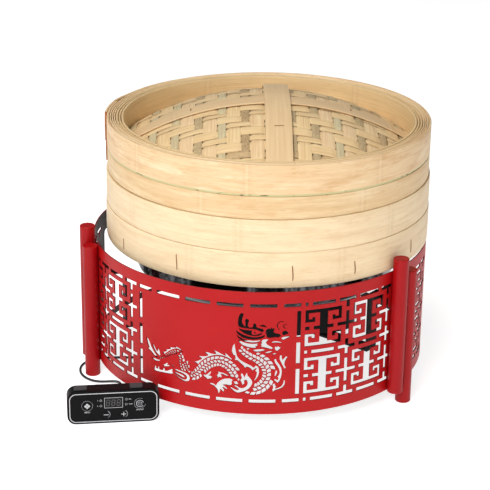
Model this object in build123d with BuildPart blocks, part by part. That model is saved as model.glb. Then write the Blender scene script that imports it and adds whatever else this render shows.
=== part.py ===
from build123d import *
import math
import os

# Two-tier bamboo dumpling steamer on a laser-cut ring stand.
# Millimetres, +Z up. The ring stand's axis is the working axis and the floor is Z = 0.
# Every piece is shifted by SHIFT on export, so that the middle of the whole
# object's footprint is at X = Y = 0.

# ---------------------------------------------------------------- driving sizes
SHIFT = (0.0, 10.05, 0.0)

R_RING = 211.0          # outer radius of the sheet-steel ring
T_SHEET = 1.5           # sheet thickness
Z_RING = 19.5           # lower edge of the ring
H_RING = 157.0          # height of the ring
Z_MID = Z_RING + H_RING / 2

POST_D = 19.0           # round tube posts
POST_T = 1.5
R_POST = R_RING + POST_D / 2
L_POST = 175.5
Z_RAISED = 19.5         # the raised post of each pair hangs this far off the floor
PAIRS = (-153.5, -26.5, 90.0)
HALF_PAIR = 2.5

# lattice of the laser-cut panels, in mm of arc and height
FIELD_C = -12.4         # middle of the solid field on the front panel
FRET_IN = 108.4         # from the field's middle to the lattice
PITCH = 63.1
ROW = 30.75
MOD = 23.3
BAR = 4.4

# steamer axis, a little off the ring's axis
AX, AY = 6.9, 1.3
# axis of the basket and the lid, which stand loose on the pan
BX, BY = 8.2, 3.0
R_BAND = 203.0
Z_BASKET = 178.2
Z_SEAM_B = 221.7        # between the two basket bands
Z_SEAM = 261.6          # basket to lid
Z_SEAM_L = 289.4        # between the two lid bands
Z_LID = 326.8
R_IN = 183.0
R_LID = 201.0
R_IN_L = 180.5
Z_EDGE = 295.0          # where the dome meets the lid's inner hoop
Z_APEX = 351.5

# water pan and heating unit
R_PAN = 165.0
Z_PAN = 129.0
UNIT_W = 200.0
UNIT_R = 35.0
UNIT_YAW = 27.0
Z_UNIT = 69.0
Z_GLASS = 125.0

# wired controller
CTL_W, CTL_H, CTL_D = 110.0, 43.0, 20.0
CTL_X, CTL_Y, CTL_YAW = -129.0, -231.75, 19.5

CORD_D = 3.2

os.makedirs("parts", exist_ok=True)


LOW, HIGH = [1e9] * 3, [-1e9] * 3


def save(builder, name):
    if name != "controller_lead":
        bb = builder.part.bounding_box()
        for i, (lo, hi) in enumerate(zip(bb.min, bb.max)):
            LOW[i], HIGH[i] = min(LOW[i], lo), max(HIGH[i], hi)
    shape = builder.part.moved(Location(SHIFT))
    shape.label = name
    export_step(shape, "parts/%s.step" % name)


def rad(a):
    return math.radians(a)


# ---------------------------------------------------------------- panel pattern
def clip_x(poly, lo, hi):
    out = poly
    for lim, sign in ((lo, 1), (hi, -1)):
        res = []
        for i in range(len(out)):
            a, b = out[i], out[(i + 1) % len(out)]
            ia, ib = sign * (a[0] - lim) >= 0, sign * (b[0] - lim) >= 0
            if ia:
                res.append(a)
            if ia != ib:
                t = (lim - a[0]) / (b[0] - a[0])
                res.append((lim, a[1] + t * (b[1] - a[1])))
        out = res
        if not out:
            return []
    if max(p[0] for p in out) - min(p[0] for p in out) < 1.0:
        return []
    return out


def rect(cx, cy, hx, hy):
    return [(cx - hx, cy - hy), (cx + hx, cy - hy), (cx + hx, cy + hy), (cx - hx, cy + hy)]


def cross(cx, cy, hx, hy, bx, by):
    return [(cx - hx, cy - by), (cx - bx, cy - by), (cx - bx, cy - hy), (cx + bx, cy - hy),
            (cx + bx, cy - by), (cx + hx, cy - by), (cx + hx, cy + by), (cx + bx, cy + by),
            (cx + bx, cy + hy), (cx - bx, cy + hy), (cx - bx, cy + by), (cx - hx, cy + by)]


def module(cx, cy):
    h, b, s = MOD, BAR, 3.9
    q = [(-12.8, 2.25), (-5.3, 2.25), (-5.3, h - b), (-h + b, h - b), (-h + b, h - 15.9 + s),
         (-h + 8.5, h - 15.9 + s), (-h + 8.5, h - 9.7), (-h + 12.4, h - 9.7),
         (-h + 12.4, h - 15.9), (-h, h - 15.9), (-h, h)]
    p = (q + [(-x, y) for x, y in reversed(q)] + [(-x, -y) for x, y in q]
         + [(x, -y) for x, y in reversed(q)])
    return [(cx + x, cy + y) for x, y in p]


def half_module(cx, cy, cut, side):
    h, b, s = MOD, BAR, 3.9
    up = [(cut, h), (h, h), (h, h - 15.9), (h - 12.4, h - 15.9), (h - 12.4, h - 9.7),
          (h - 8.5, h - 9.7), (h - 8.5, h - 15.9 + s), (h - b, h - 15.9 + s), (h - b, h - b), (cut, h - b)]
    out = [up, [(x, -y) for x, y in up], rect((cut + 12.8) / 2, 0, (12.8 - cut) / 2, 2.25)]
    return [[(cx + side * x, cy + y) for x, y in p] for p in out]


def tee(cx, sign):
    y0, y1, y2 = 51.1 * sign, 59.2 * sign, 63.8 * sign
    return [(cx - 11.7, y2), (cx + 11.7, y2), (cx + 11.7, y1), (cx + 2.35, y1),
            (cx + 2.35, y0), (cx - 2.35, y0), (cx - 2.35, y1), (cx - 11.7, y1)]


def lattice(mods, crosses, lo, hi):
    out = []
    for c in mods:
        for y in (ROW, -ROW):
            out.append(module(c, y))
        for y in (61.5, 0.0, -61.5):
            out.append(rect(c, y, 14.6, 2.3))
    for c in crosses:
        for y in (ROW, -ROW):
            out.append(cross(c, y, 13.8, 15.4, 2.35, 2.2))
        out.append(cross(c, 0.0, 11.85, 10.0, 2.35, 2.2))
        out.append(tee(c, 1))
        out.append(tee(c, -1))
    return [q for q in (clip_x(p, lo, hi) for p in out) if q]


def front_lattice():
    r0, l0 = FIELD_C + FRET_IN, FIELD_C - FRET_IN
    m = FIELD_C + 131.8
    out = lattice((m, m + PITCH), (m - PITCH / 2, m + PITCH / 2, m + 1.5 * PITCH), r0, 220.5)
    k = FIELD_C - 118.1
    out += lattice((k - PITCH / 2,), (k, k - PITCH), -220.0, l0)
    for y in (ROW, -ROW):
        out += half_module(k - 1.5 * PITCH, y, 6.1, 1)
    for y in (61.5, 0.0, -61.5):
        out.append(rect(k - 1.5 * PITCH + 10.3, y, 4.3, 2.3))
    # the frame of dashes round the solid field
    for sy in (61.5, -61.5):
        for d in (-59.2, -19.75, 19.75, 59.2):
            out.append(rect(FIELD_C + d, sy, 15.9, 2.3))
        out.append(rect(FIELD_C + 93.15, sy, 10.25, 2.3))
        out.append(rect(FIELD_C - 93.15, sy, 10.25, 2.3))
    for sx in (-101.0, 101.0):
        out.append(rect(FIELD_C + sx, 0.0, 2.45, 13.6))
        out.append(rect(FIELD_C + sx, 37.2, 2.45, 16.6))
        out.append(rect(FIELD_C + sx, -37.2, 2.45, 16.6))
    return out


def rear_lattice(half):
    out = []
    for side in (-1, 1):
        c1, c2 = 131.55, 194.65
        p = lattice((163.1,), (c1, c2), 117.5, half - 4.5)
        out += [[(side * x, y) for x, y in q] for q in p]
    return out


# ---------------------------------------------------------------- dragon cut-outs
def smooth(ctrl, step=1.0):
    pts = []
    n = len(ctrl)
    for i in range(n - 1):
        p0, p1 = ctrl[max(i - 1, 0)], ctrl[i]
        p2, p3 = ctrl[i + 1], ctrl[min(i + 2, n - 1)]
        m = max(2, int(math.dist(p1[:2], p2[:2]) / step))
        for j in range(m):
            t = j / m
            pts.append(tuple(0.5 * (2 * b + (c - a) * t + (2 * a - 5 * b + 4 * c - d) * t * t
                                    + (3 * b - a - 3 * c + d) * t ** 3)
                             for a, b, c, d in zip(p0, p1, p2, p3)))
    pts.append(ctrl[-1])
    return pts


class Spine:
    def __init__(self, ctrl):
        self.p = smooth(ctrl, 0.6)
        self.s = [0.0]
        for a, b in zip(self.p, self.p[1:]):
            self.s.append(self.s[-1] + math.dist(a[:2], b[:2]))
        self.len = self.s[-1]

    def at(self, u, v=0.0, absolute=False):
        u = min(max(u, 0.0), self.len - 1e-6)
        lo, hi = 0, len(self.s) - 1
        while hi - lo > 1:
            mid = (lo + hi) // 2
            if self.s[mid] <= u:
                lo = mid
            else:
                hi = mid
        a, b = self.p[lo], self.p[lo + 1]
        t = (u - self.s[lo]) / (self.s[lo + 1] - self.s[lo])
        x, y = a[0] + t * (b[0] - a[0]), a[1] + t * (b[1] - a[1])
        hw = a[2] + t * (b[2] - a[2])
        i0, i1 = max(lo - 2, 0), min(lo + 3, len(self.p) - 1)
        dx, dy = self.p[i1][0] - self.p[i0][0], self.p[i1][1] - self.p[i0][1]
        n = math.hypot(dx, dy)
        d = v if absolute else v * hw
        return (x - dy / n * d, y + dx / n * d)

    def hw(self, u):
        u = min(max(u, 0.0), self.len)
        for i in range(len(self.s) - 1):
            if self.s[i + 1] >= u:
                t = (u - self.s[i]) / (self.s[i + 1] - self.s[i])
                return self.p[i][2] + t * (self.p[i + 1][2] - self.p[i][2])
        return self.p[-1][2]


# body centre line from tail to head: arc position, height, half width
BODY = [(-91.0, -26.0, 0.9), (-83.0, -23.6, 1.5), (-74.5, -18.6, 2.2), (-66.0, -12.6, 2.9),
        (-58.5, -10.0, 3.5), (-53.6, -14.4, 4.0), (-51.6, -23.5, 4.7), (-48.0, -32.2, 5.3),
        (-42.0, -37.0, 5.8), (-35.0, -35.4, 6.2), (-28.6, -28.6, 6.4), (-22.0, -20.6, 6.6),
        (-13.5, -14.6, 6.8), (-4.0, -12.6, 7.0), (5.5, -16.0, 7.1), (12.8, -23.2, 7.2),
        (17.6, -32.4, 7.2), (23.4, -41.4, 7.3), (33.2, -46.4, 7.6), (44.2, -43.6, 8.0),
        (52.0, -35.0, 8.1), (54.6, -24.4, 8.1), (51.0, -13.8, 8.0), (43.0, -6.2, 7.6),
        (33.0, -1.2, 6.9), (24.6, 4.4, 6.2), (20.0, 10.5, 5.6)]


def scales(sp):
    # staggered rows of slanting scales, with a thin bridge of metal round each
    out = []
    gap = 0.4
    u = 4.0
    while u < sp.len - 3.0:
        hw = sp.hw(u)
        rows = 1 if hw < 1.7 else (2 if hw < 4.3 else 3)
        step = max(2.9, min(5.4, 2.0 * hw / rows * 1.02))
        for r in range(rows):
            v0, v1 = -1 + 2 * r / rows + gap / hw, -1 + 2 * (r + 1) / rows - gap / hw
            off = 0.5 * step if r % 2 else 0.0
            a, b = u + off + gap, u + off + step - gap
            if b > sp.len - 1.0:
                continue
            sl = 0.16 * step * (1 if r % 2 else -1)
            vm = (v0 + v1) / 2
            out.append([sp.at(a + sl, v0), sp.at(b + sl - 0.25, v0), sp.at(b + 0.15, vm), sp.at(b - sl - 0.25, v1),
                        sp.at(a - sl, v1), sp.at(a + 0.15, vm)])
        u += step
    return out


def crest(sp, u0, u1, n, h0, h1, base=0.85):
    # a band along the back with n flames that lean towards the tail
    seg = (u1 - u0) / n
    inner, outer = [], []
    m = max(4, int((u1 - u0) / 2.4))
    for i in range(m + 1):
        u = u0 + (u1 - u0) * i / m
        inner.append(sp.at(u, sp.hw(u) + base, absolute=True))
    for i in range(n):
        h = h0 + (h1 - h0) * math.sin(math.pi * (i + 0.5) / n)
        low = 0.8 + 0.12 * h
        for t, d in ((0.12, low), (0.06, low + 0.45 * (h - low)), (-0.10, h), (0.26, h * 0.74), (0.58, low + 0.25 * (h - low)), (0.92, low)):
            u = u0 + (i + t) * seg
            outer.append(sp.at(u, sp.hw(u) + base + d, absolute=True))
    return inner + outer[::-1]


def leaf(p0, p1, bulge, width, n=5):
    # a pointed curved blade from p0 to p1
    dx, dy = p1[0] - p0[0], p1[1] - p0[1]
    L = math.hypot(dx, dy)
    nx, ny = -dy / L, dx / L
    up, dn = [], []
    for i in range(n + 1):
        t = i / n
        m = bulge * 4 * t * (1 - t)
        w = width * (math.sin(math.pi * t ** 0.75)) / 2
        cx, cy = p0[0] + dx * t + nx * m, p0[1] + dy * t + ny * m
        up.append((cx + nx * w, cy + ny * w))
        dn.append((cx - nx * w, cy - ny * w))
    return up[:-1] + [p1] + dn[1:-1][::-1] + ([] if width else [])


def curl(cx, cy, r0, r1, a0, a1, w, n=8):
    out_o, out_i = [], []
    for i in range(n + 1):
        t = i / n
        a = rad(a0 + (a1 - a0) * t)
        r = r0 + (r1 - r0) * t
        h = w / 2 * (0.55 + 0.45 * math.sin(math.pi * t))
        out_o.append((cx + (r + h) * math.cos(a), cy + (r + h) * math.sin(a)))
        out_i.append((cx + (r - h) * math.cos(a), cy + (r - h) * math.sin(a)))
    return out_o + out_i[::-1]


def seg_gap(a, b, c, d):
    def cr(o, p, q):
        return (p[0] - o[0]) * (q[1] - o[1]) - (p[1] - o[1]) * (q[0] - o[0])
    if cr(a, b, c) * cr(a, b, d) < 0 and cr(c, d, a) * cr(c, d, b) < 0:
        return 0.0

    def pd(p, e, f):
        dx, dy = f[0] - e[0], f[1] - e[1]
        t = max(0.0, min(1.0, ((p[0] - e[0]) * dx + (p[1] - e[1]) * dy) / max(dx * dx + dy * dy, 1e-12)))
        return math.hypot(p[0] - e[0] - t * dx, p[1] - e[1] - t * dy)
    return min(pd(a, c, d), pd(b, c, d), pd(c, a, b), pd(d, a, b))


def edges_of(p):
    return list(zip(p, p[1:] + p[:1]))


def far_apart(p, q, g):
    # True where the metal left between two cut-outs is at least g wide
    if (min(v[0] for v in p) - g > max(v[0] for v in q) or min(v[0] for v in q) - g > max(v[0] for v in p)
            or min(v[1] for v in p) - g > max(v[1] for v in q) or min(v[1] for v in q) - g > max(v[1] for v in p)):
        return True
    return all(seg_gap(a, b, c, d) >= g for a, b in edges_of(p) for c, d in edges_of(q))


def sound(p, g):
    # True where a small cut-out has no short edge and doesn't pinch
    e = edges_of(p)
    n = len(e)
    if min(math.dist(a, b) for a, b in e) < g:
        return False
    return all(seg_gap(*e[i], *e[j]) >= g for i in range(n) for j in range(i + 2, n) if (i, j) != (0, n - 1))


def dragon():
    sp = Spine(BODY)
    L = sp.len
    out = []
    out.append([(17.5, 34.7), (16.8, 39.3), (17.3, 45.5), (19.0, 50.5), (21.3, 52.3), (23.7, 51.0),
                (23.0, 47.7), (21.7, 43.8), (22.0, 39.3), (24.0, 36.3), (25.7, 35.0), (25.7, 39.3),
                (25.0, 43.0), (26.7, 45.0), (29.3, 44.3), (30.0, 41.7), (28.7, 39.3), (28.7, 36.0),
                (30.3, 34.0), (34.0, 34.3), (35.0, 37.0), (34.7, 39.3), (37.0, 39.7), (38.7, 37.3),
                (38.7, 34.7), (41.3, 33.7), (45.7, 33.0), (47.7, 31.0), (46.3, 28.3), (43.0, 29.3),
                (39.7, 31.0), (35.5, 32.0), (30.0, 32.3), (25.5, 32.7), (21.0, 33.2)])
    out.append([(42.0, 36.0), (44.0, 37.7), (47.0, 38.0), (49.7, 36.3), (51.0, 34.3), (48.7, 34.7),
                (46.0, 35.3)])
    out.append([(17.8, 32.7), (20.3, 31.7), (23.7, 31.0), (28.3, 30.7), (32.7, 30.3), (34.3, 29.8),
                (33.0, 27.8), (33.7, 25.5), (36.0, 24.5), (39.3, 25.2), (42.3, 26.8), (44.3, 27.5),
                (45.7, 26.7), (44.3, 24.8), (41.3, 23.5), (36.7, 23.0), (31.3, 23.7), (26.3, 25.3),
                (22.0, 27.8), (19.3, 30.2)])
    out.append([(38.2, 27.5), (37.8, 26.7), (37.0, 26.3), (36.2, 26.7), (35.8, 27.5), (36.2, 28.3),
                (37.0, 28.7), (37.8, 28.3)])
    out.append([(14.7, 30.3), (16.3, 28.7), (19.3, 26.7), (23.7, 24.5), (29.0, 22.8), (34.7, 21.7),
                (39.7, 22.0), (44.0, 23.0), (47.0, 24.3), (48.3, 25.0), (48.7, 23.3), (47.7, 21.7),
                (44.7, 20.2), (41.0, 19.2), (34.7, 18.5), (28.0, 19.2), (22.3, 20.8), (18.0, 23.8),
                (15.3, 27.0)])
    out.append([(15.2, 25.3), (18.0, 22.2), (22.7, 19.3), (28.3, 17.7), (35.0, 17.0), (40.7, 17.5),
                (44.0, 18.2), (42.7, 16.3), (38.0, 14.8), (32.0, 14.5), (25.7, 15.5), (20.0, 17.8),
                (16.7, 21.0)])
    out.append([(17.5, 18.7), (20.3, 16.2), (25.7, 14.0), (32.0, 13.0), (38.3, 13.3), (41.3, 14.0),
                (39.7, 12.0), (41.3, 11.0), (37.7, 9.7), (39.0, 7.8), (34.3, 7.7), (28.3, 8.7),
                (22.7, 10.7), (19.0, 14.0)])
    out.append([(50.3, 25.3), (49.3, 28.0), (49.7, 31.0), (51.3, 32.5), (53.3, 33.5), (54.7, 32.2),
                (56.3, 34.7), (57.7, 32.5), (59.3, 34.0), (59.7, 31.0), (58.7, 28.7), (60.7, 27.2),
                (64.3, 26.5), (67.0, 25.3), (67.2, 22.8), (64.7, 21.5), (60.7, 21.8), (55.3, 21.0),
                (51.7, 21.3), (50.7, 23.0)])
    out.append([(68.5, 26.7), (69.3, 28.8), (71.7, 30.0), (74.3, 29.3), (76.0, 27.3), (76.3, 25.0),
                (74.3, 25.7), (72.7, 24.2), (70.0, 24.3)])
    out.append([(68.0, 20.7), (71.7, 22.3), (75.7, 23.0), (79.0, 22.3), (76.3, 20.5), (72.7, 19.0),
                (70.7, 17.8), (69.0, 19.0)])
    out.append([(46.0, 18.7), (49.7, 19.3), (53.3, 19.0), (51.7, 17.0), (50.0, 14.8), (51.7, 12.3),
                (54.7, 10.5), (57.3, 9.0), (58.7, 7.0), (56.3, 6.3), (52.0, 7.7), (48.0, 8.7),
                (43.7, 9.5), (45.3, 11.3), (43.7, 12.3), (45.7, 14.5), (44.0, 15.7), (45.7, 17.0)])
    out.append([(56.7, 15.7), (60.0, 16.8), (64.0, 16.5), (68.0, 15.2), (68.7, 13.7), (64.7, 14.5),
                (60.7, 14.7), (57.7, 14.2)])
    out.append([(60.7, 8.3), (61.0, 10.0), (62.7, 9.0), (64.3, 10.3), (65.7, 8.8), (68.0, 8.8),
                (66.3, 6.2), (63.7, 3.7), (61.3, 5.0)])
    out.append([(34.0, 5.0), (39.7, 6.3), (46.7, 6.7), (50.0, 5.3), (44.7, 3.5), (38.3, 2.8)])
    out.append([(48.0, 1.2), (52.7, 3.7), (58.3, 4.3), (56.7, 2.5), (52.7, 1.0)])
    out.append([(57.3, -0.5), (60.0, 1.5), (63.0, 1.0), (61.0, -0.8)])
    out.append([(12.0, -3.0), (10.0, 2.0), (11.0, 8.3), (13.3, 12.3), (13.7, 8.7), (14.7, 3.0),
                (16.3, -3.7), (19.3, -7.5), (23.3, -10.2), (27.3, -12.3), (31.3, -14.2),
                (34.0, -15.7), (35.8, -17.5), (37.3, -17.0), (38.3, -14.7), (40.3, -15.3),
                (42.0, -18.0), (42.7, -23.7), (41.5, -29.0), (38.7, -33.7), (36.5, -35.0),
                (38.5, -31.3), (39.8, -27.0), (40.3, -23.7), (38.7, -22.7), (38.2, -20.7),
                (40.0, -19.0), (38.3, -18.8), (36.3, -20.3), (35.0, -21.7), (33.0, -19.0),
                (30.3, -17.5), (27.7, -16.8), (26.0, -18.7), (24.3, -15.7), (21.3, -13.3),
                (18.7, -10.7), (16.3, -9.0), (13.7, -9.7), (14.7, -7.0), (14.0, -3.0)])
    out.append([(22.3, -25.0), (24.2, -27.7), (25.7, -31.0), (26.7, -27.7), (28.3, -24.3),
                (29.0, -28.0), (31.3, -30.3), (34.0, -33.7), (35.0, -37.7), (33.3, -42.3),
                (30.0, -46.3), (25.7, -49.0), (21.3, -50.7), (17.3, -51.7), (13.7, -50.0),
                (11.3, -47.7), (8.7, -46.0), (10.0, -44.7), (14.0, -46.7), (17.0, -48.0),
                (19.0, -47.0), (16.7, -45.0), (14.0, -43.3), (12.7, -41.7), (16.3, -42.0),
                (20.0, -44.7), (23.7, -45.0), (27.7, -42.7), (29.7, -38.7), (28.7, -35.0),
                (26.7, -34.0), (24.7, -35.7), (25.7, -38.7), (23.3, -41.0), (22.0, -37.7),
                (20.3, -34.7), (22.7, -32.0), (21.0, -28.3)])
    out.append([(-92.7, -42.2), (-92.2, -39.0), (-90.8, -36.0), (-89.3, -36.0), (-89.7, -38.8),
                (-87.2, -39.2), (-86.5, -35.7), (-84.8, -35.7), (-84.5, -39.2), (-79.7, -39.2),
                (-78.5, -35.5), (-76.8, -35.7), (-76.2, -38.8), (-71.7, -37.8), (-68.0, -35.0),
                (-65.0, -33.8), (-65.7, -36.3), (-64.3, -39.3), (-68.0, -41.0), (-75.3, -41.8),
                (-83.7, -42.5), (-90.3, -43.2)])
    out.append([(-62.3, -36.7), (-57.0, -37.3), (-51.3, -38.3), (-48.7, -40.2), (-48.8, -41.8),
                (-52.0, -41.7), (-57.7, -39.3), (-61.7, -38.3)])
    out.append([(-62.7, -40.3), (-57.0, -43.2), (-52.0, -45.5), (-47.3, -46.3), (-43.3, -44.5),
                (-41.5, -41.0), (-42.5, -37.2), (-46.3, -34.8), (-52.7, -33.5), (-60.3, -32.5),
                (-62.0, -34.3), (-57.0, -35.5), (-51.0, -36.5), (-46.7, -38.5), (-45.7, -41.3),
                (-47.3, -44.0), (-52.0, -43.7), (-57.7, -41.3), (-62.0, -39.3)])
    out.append([(-79.0, -32.0), (-75.3, -29.7), (-72.7, -27.3), (-71.7, -28.3), (-73.3, -30.3),
                (-69.3, -29.7), (-70.7, -32.0), (-74.7, -32.7), (-77.0, -33.7)])
    out.append([(-68.0, -28.3), (-65.3, -28.0), (-63.0, -29.7), (-62.3, -31.7), (-64.3, -30.3)])
    out.append([(-24.3, -32.0), (-21.0, -32.7), (-18.0, -29.7), (-14.7, -26.3), (-15.3, -29.7),
                (-18.0, -32.7), (-15.3, -32.7), (-12.7, -34.3), (-15.3, -35.7), (-14.3, -37.7),
                (-17.0, -36.7), (-19.3, -38.0), (-21.3, -36.3), (-24.0, -34.7)])
    out.append([(-7.0, -25.0), (-4.7, -26.3), (-0.3, -26.7), (4.0, -28.3), (7.3, -30.7),
                (4.0, -30.7), (0.0, -29.0), (-3.0, -28.7), (-1.7, -31.0), (-2.7, -34.0),
                (-4.7, -32.7), (-7.0, -34.7), (-6.7, -32.0), (-9.3, -31.3), (-6.3, -30.0),
                (-5.7, -28.0)])
    out.append([(-17.0, -43.0), (-14.0, -41.7), (-11.0, -42.7), (-8.7, -44.7), (-6.7, -40.7),
                (-2.3, -36.3), (2.3, -34.0), (7.7, -33.3), (11.7, -34.7), (10.0, -37.7),
                (11.0, -40.7), (8.0, -43.0), (4.0, -42.0), (-0.3, -42.7), (2.7, -44.3), (5.0, -46.7),
                (4.0, -48.3), (1.3, -46.3), (-0.7, -46.0), (1.3, -49.0), (0.3, -52.0), (-1.7, -50.0),
                (-3.3, -48.3), (-3.7, -51.3), (-5.7, -54.7), (-6.3, -51.0), (-8.3, -48.0),
                (-11.7, -45.0), (-14.7, -44.3)])
    out.append([(60.0, -7.0), (62.0, -6.0), (63.0, -9.0), (65.0, -11.7), (67.0, -15.0),
                (68.8, -18.3), (69.7, -23.7), (68.8, -30.3), (67.0, -35.3), (65.0, -37.7),
                (62.3, -35.3), (60.7, -34.3), (61.3, -32.0), (64.7, -34.0), (66.0, -31.3),
                (64.3, -29.0), (66.3, -27.3), (67.2, -23.7), (66.5, -19.7), (64.3, -15.7),
                (61.7, -12.0)])
    out.append([(67.0, -1.7), (69.3, -2.0), (69.0, -5.0), (70.0, -8.0), (72.0, -5.7), (74.0, -3.3),
                (76.3, -4.3), (74.2, -7.2), (72.8, -10.3), (72.2, -14.7), (74.5, -18.0),
                (73.0, -19.7), (71.5, -17.0), (69.7, -13.3), (68.0, -9.7), (66.5, -6.0)])
    out.append([(72.3, -33.7), (73.7, -35.7), (73.3, -40.3), (70.7, -44.0), (66.3, -46.0),
                (61.7, -47.3), (59.7, -49.3), (58.7, -46.3), (60.0, -43.0), (58.7, -39.7),
                (60.7, -38.0), (62.3, -39.3), (61.3, -41.0), (63.7, -40.7), (62.3, -43.7),
                (62.0, -45.0), (66.0, -44.0), (69.7, -41.7), (71.7, -38.0)])
    out.append([(61.3, -25.3), (62.7, -20.3), (64.3, -23.7), (63.0, -27.3), (61.3, -29.7)])
    out.append([(-105.0, -2.0), (-101.3, -3.7), (-99.0, -7.8), (-96.0, -13.7), (-92.0, -18.7),
                (-87.3, -22.7), (-85.7, -23.8), (-88.7, -24.7), (-93.0, -23.0), (-97.7, -19.0),
                (-102.3, -17.0), (-100.3, -15.3), (-102.7, -10.3)])
    out.append([(-95.3, -6.7), (-92.0, -9.7), (-89.0, -15.0), (-87.3, -16.0), (-87.0, -11.3),
                (-84.3, -13.7), (-82.7, -20.0), (-85.3, -21.3), (-90.0, -18.0), (-93.3, -13.3)])
    out.append([(-96.7, -26.3), (-92.0, -26.2), (-87.0, -27.0), (-83.0, -26.3), (-85.3, -28.7),
                (-90.3, -29.7), (-94.7, -28.3)])
    # whiskers
    out.append(curl(68.4, 37.0, 6.2, 4.6, 250, 60, 1.2, 9))
    out.append(curl(72.4, 35.6, 2.6, 1.9, 300, 30, 1.1, 8))
    for p in (crest(sp, 16.0, 41.0, 4, 2.6, 4.2), crest(sp, 49.0, 62.0, 2, 3.2, 3.6), crest(sp, 91.0, 128.0, 5, 4.4, 7.4)):
        if sound(p, 0.25) and all(far_apart(p, q, 0.55) for q in out):
            out.append(p)
    for p in scales(sp):
        cx, cy = sum(x for x, _ in p) / len(p), sum(y for _, y in p) / len(p)
        for k in (1.0, 0.82, 0.64):
            q = [(cx + (x - cx) * k, cy + (y - cy) * k) for x, y in p]
            if sound(q, 0.3) and all(far_apart(q, o, 0.55) for o in out):
                out.append(q)
                break
    return out


def cutters(polys, mid_az):
    solids = []
    for poly in polys:
        s0 = (min(p[0] for p in poly) + max(p[0] for p in poly)) / 2
        a = rad(mid_az) + s0 / R_RING
        plane = Plane(origin=((R_RING + 3) * math.cos(a), (R_RING + 3) * math.sin(a), Z_MID),
                      x_dir=(-math.sin(a), math.cos(a), 0), z_dir=(math.cos(a), math.sin(a), 0))
        pts = [(R_RING * math.sin((x - s0) / R_RING), y) for x, y in poly]
        with BuildPart() as tool:
            with BuildSketch(plane):
                with BuildLine():
                    Polyline(*pts, close=True)
                make_face()
            extrude(amount=-9.0)
        solids.append(tool.part)
    return solids


def panel(name, mid_az, half_deg, polys, window=None):
    a0, a1 = rad(mid_az - half_deg), rad(mid_az + half_deg)
    ri = R_RING - T_SHEET
    with BuildPart() as p:
        with BuildSketch(Plane.XY.offset(Z_RING)):
            with BuildLine():
                am = rad(mid_az)
                ThreePointArc((R_RING * math.cos(a0), R_RING * math.sin(a0)),
                              (R_RING * math.cos(am), R_RING * math.sin(am)),
                              (R_RING * math.cos(a1), R_RING * math.sin(a1)))
                Line((R_RING * math.cos(a1), R_RING * math.sin(a1)), (ri * math.cos(a1), ri * math.sin(a1)))
                ThreePointArc((ri * math.cos(a1), ri * math.sin(a1)),
                              (ri * math.cos(am), ri * math.sin(am)),
                              (ri * math.cos(a0), ri * math.sin(a0)))
                Line((ri * math.cos(a0), ri * math.sin(a0)), (R_RING * math.cos(a0), R_RING * math.sin(a0)))
            make_face()
        extrude(amount=H_RING)
        add(cutters(polys, mid_az), mode=Mode.SUBTRACT)
    save(p, name)
    return p



def pol(r, a, z=0.0):
    return (r * math.cos(rad(a)), r * math.sin(rad(a)), z)


def ring(r0, r1, z0, z1, cx=0.0, cy=0.0):
    # a plain hoop
    with BuildPart() as b:
        with BuildSketch(Plane((cx, cy, z0))):
            Circle(r1)
            Circle(r0, mode=Mode.SUBTRACT)
        extrude(amount=z1 - z0)
    return b


# ================================================================ ring stand
FRONT_HALF = 61.3
REAR_MID = (31.75, 148.25)
REAR_HALF = 56.0

front_polys = front_lattice() + dragon()
front = panel("front_panel", -90.0, FRONT_HALF, front_polys)
print("front panel cut-outs", len(front_polys), "solids", len(front.part.solids()))
for piece in front.part.solids().sort_by(SortBy.VOLUME)[:-1]:
    c = piece.center()
    print("loose piece at arc", round((math.degrees(math.atan2(c.Y, c.X)) + 90) * rad(1) * R_RING, 1),
          "height", round(c.Z - Z_MID, 1), "volume", round(piece.volume, 1))

half_arc = R_RING * rad(REAR_HALF)
rear_polys = rear_lattice(half_arc)
for name, mid in (("rear_right_panel", REAR_MID[0]), ("rear_left_panel", REAR_MID[1])):
    a0, a1 = rad(mid - REAR_HALF), rad(mid + REAR_HALF)
    am = rad(mid)
    ri = R_RING - T_SHEET
    with BuildPart() as p:
        with BuildSketch(Plane.XY.offset(Z_RING)):
            with BuildLine():
                ThreePointArc(pol(R_RING, mid - REAR_HALF)[:2], pol(R_RING, mid)[:2], pol(R_RING, mid + REAR_HALF)[:2])
                Line(pol(R_RING, mid + REAR_HALF)[:2], pol(ri, mid + REAR_HALF)[:2])
                ThreePointArc(pol(ri, mid + REAR_HALF)[:2], pol(ri, mid)[:2], pol(ri, mid - REAR_HALF)[:2])
                Line(pol(ri, mid - REAR_HALF)[:2], pol(R_RING, mid - REAR_HALF)[:2])
            make_face()
        extrude(amount=H_RING)
        add(cutters(rear_polys, mid), mode=Mode.SUBTRACT)
        # the access window, 218 mm of arc wide, cut straight through along the panel's own radius
        with BuildSketch(Plane(origin=pol(R_RING + 6, mid, Z_MID - 8.5), x_dir=(-math.sin(am), math.cos(am), 0),
                               z_dir=(math.cos(am), math.sin(am), 0))):
            RectangleRounded(2 * R_RING * math.sin(rad(29.4)), 123.0, 6.0)
        extrude(amount=-60, mode=Mode.SUBTRACT)
    save(p, name)
    print(name, "solids", len(p.part.solids()))

low_az = [c + HALF_PAIR for c in PAIRS]          # left end of each panel, seen from outside
raised_az = [c - HALF_PAIR for c in PAIRS]       # right end of each panel
RIVET_Z = (52.0, 100.0, 148.0)


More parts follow.
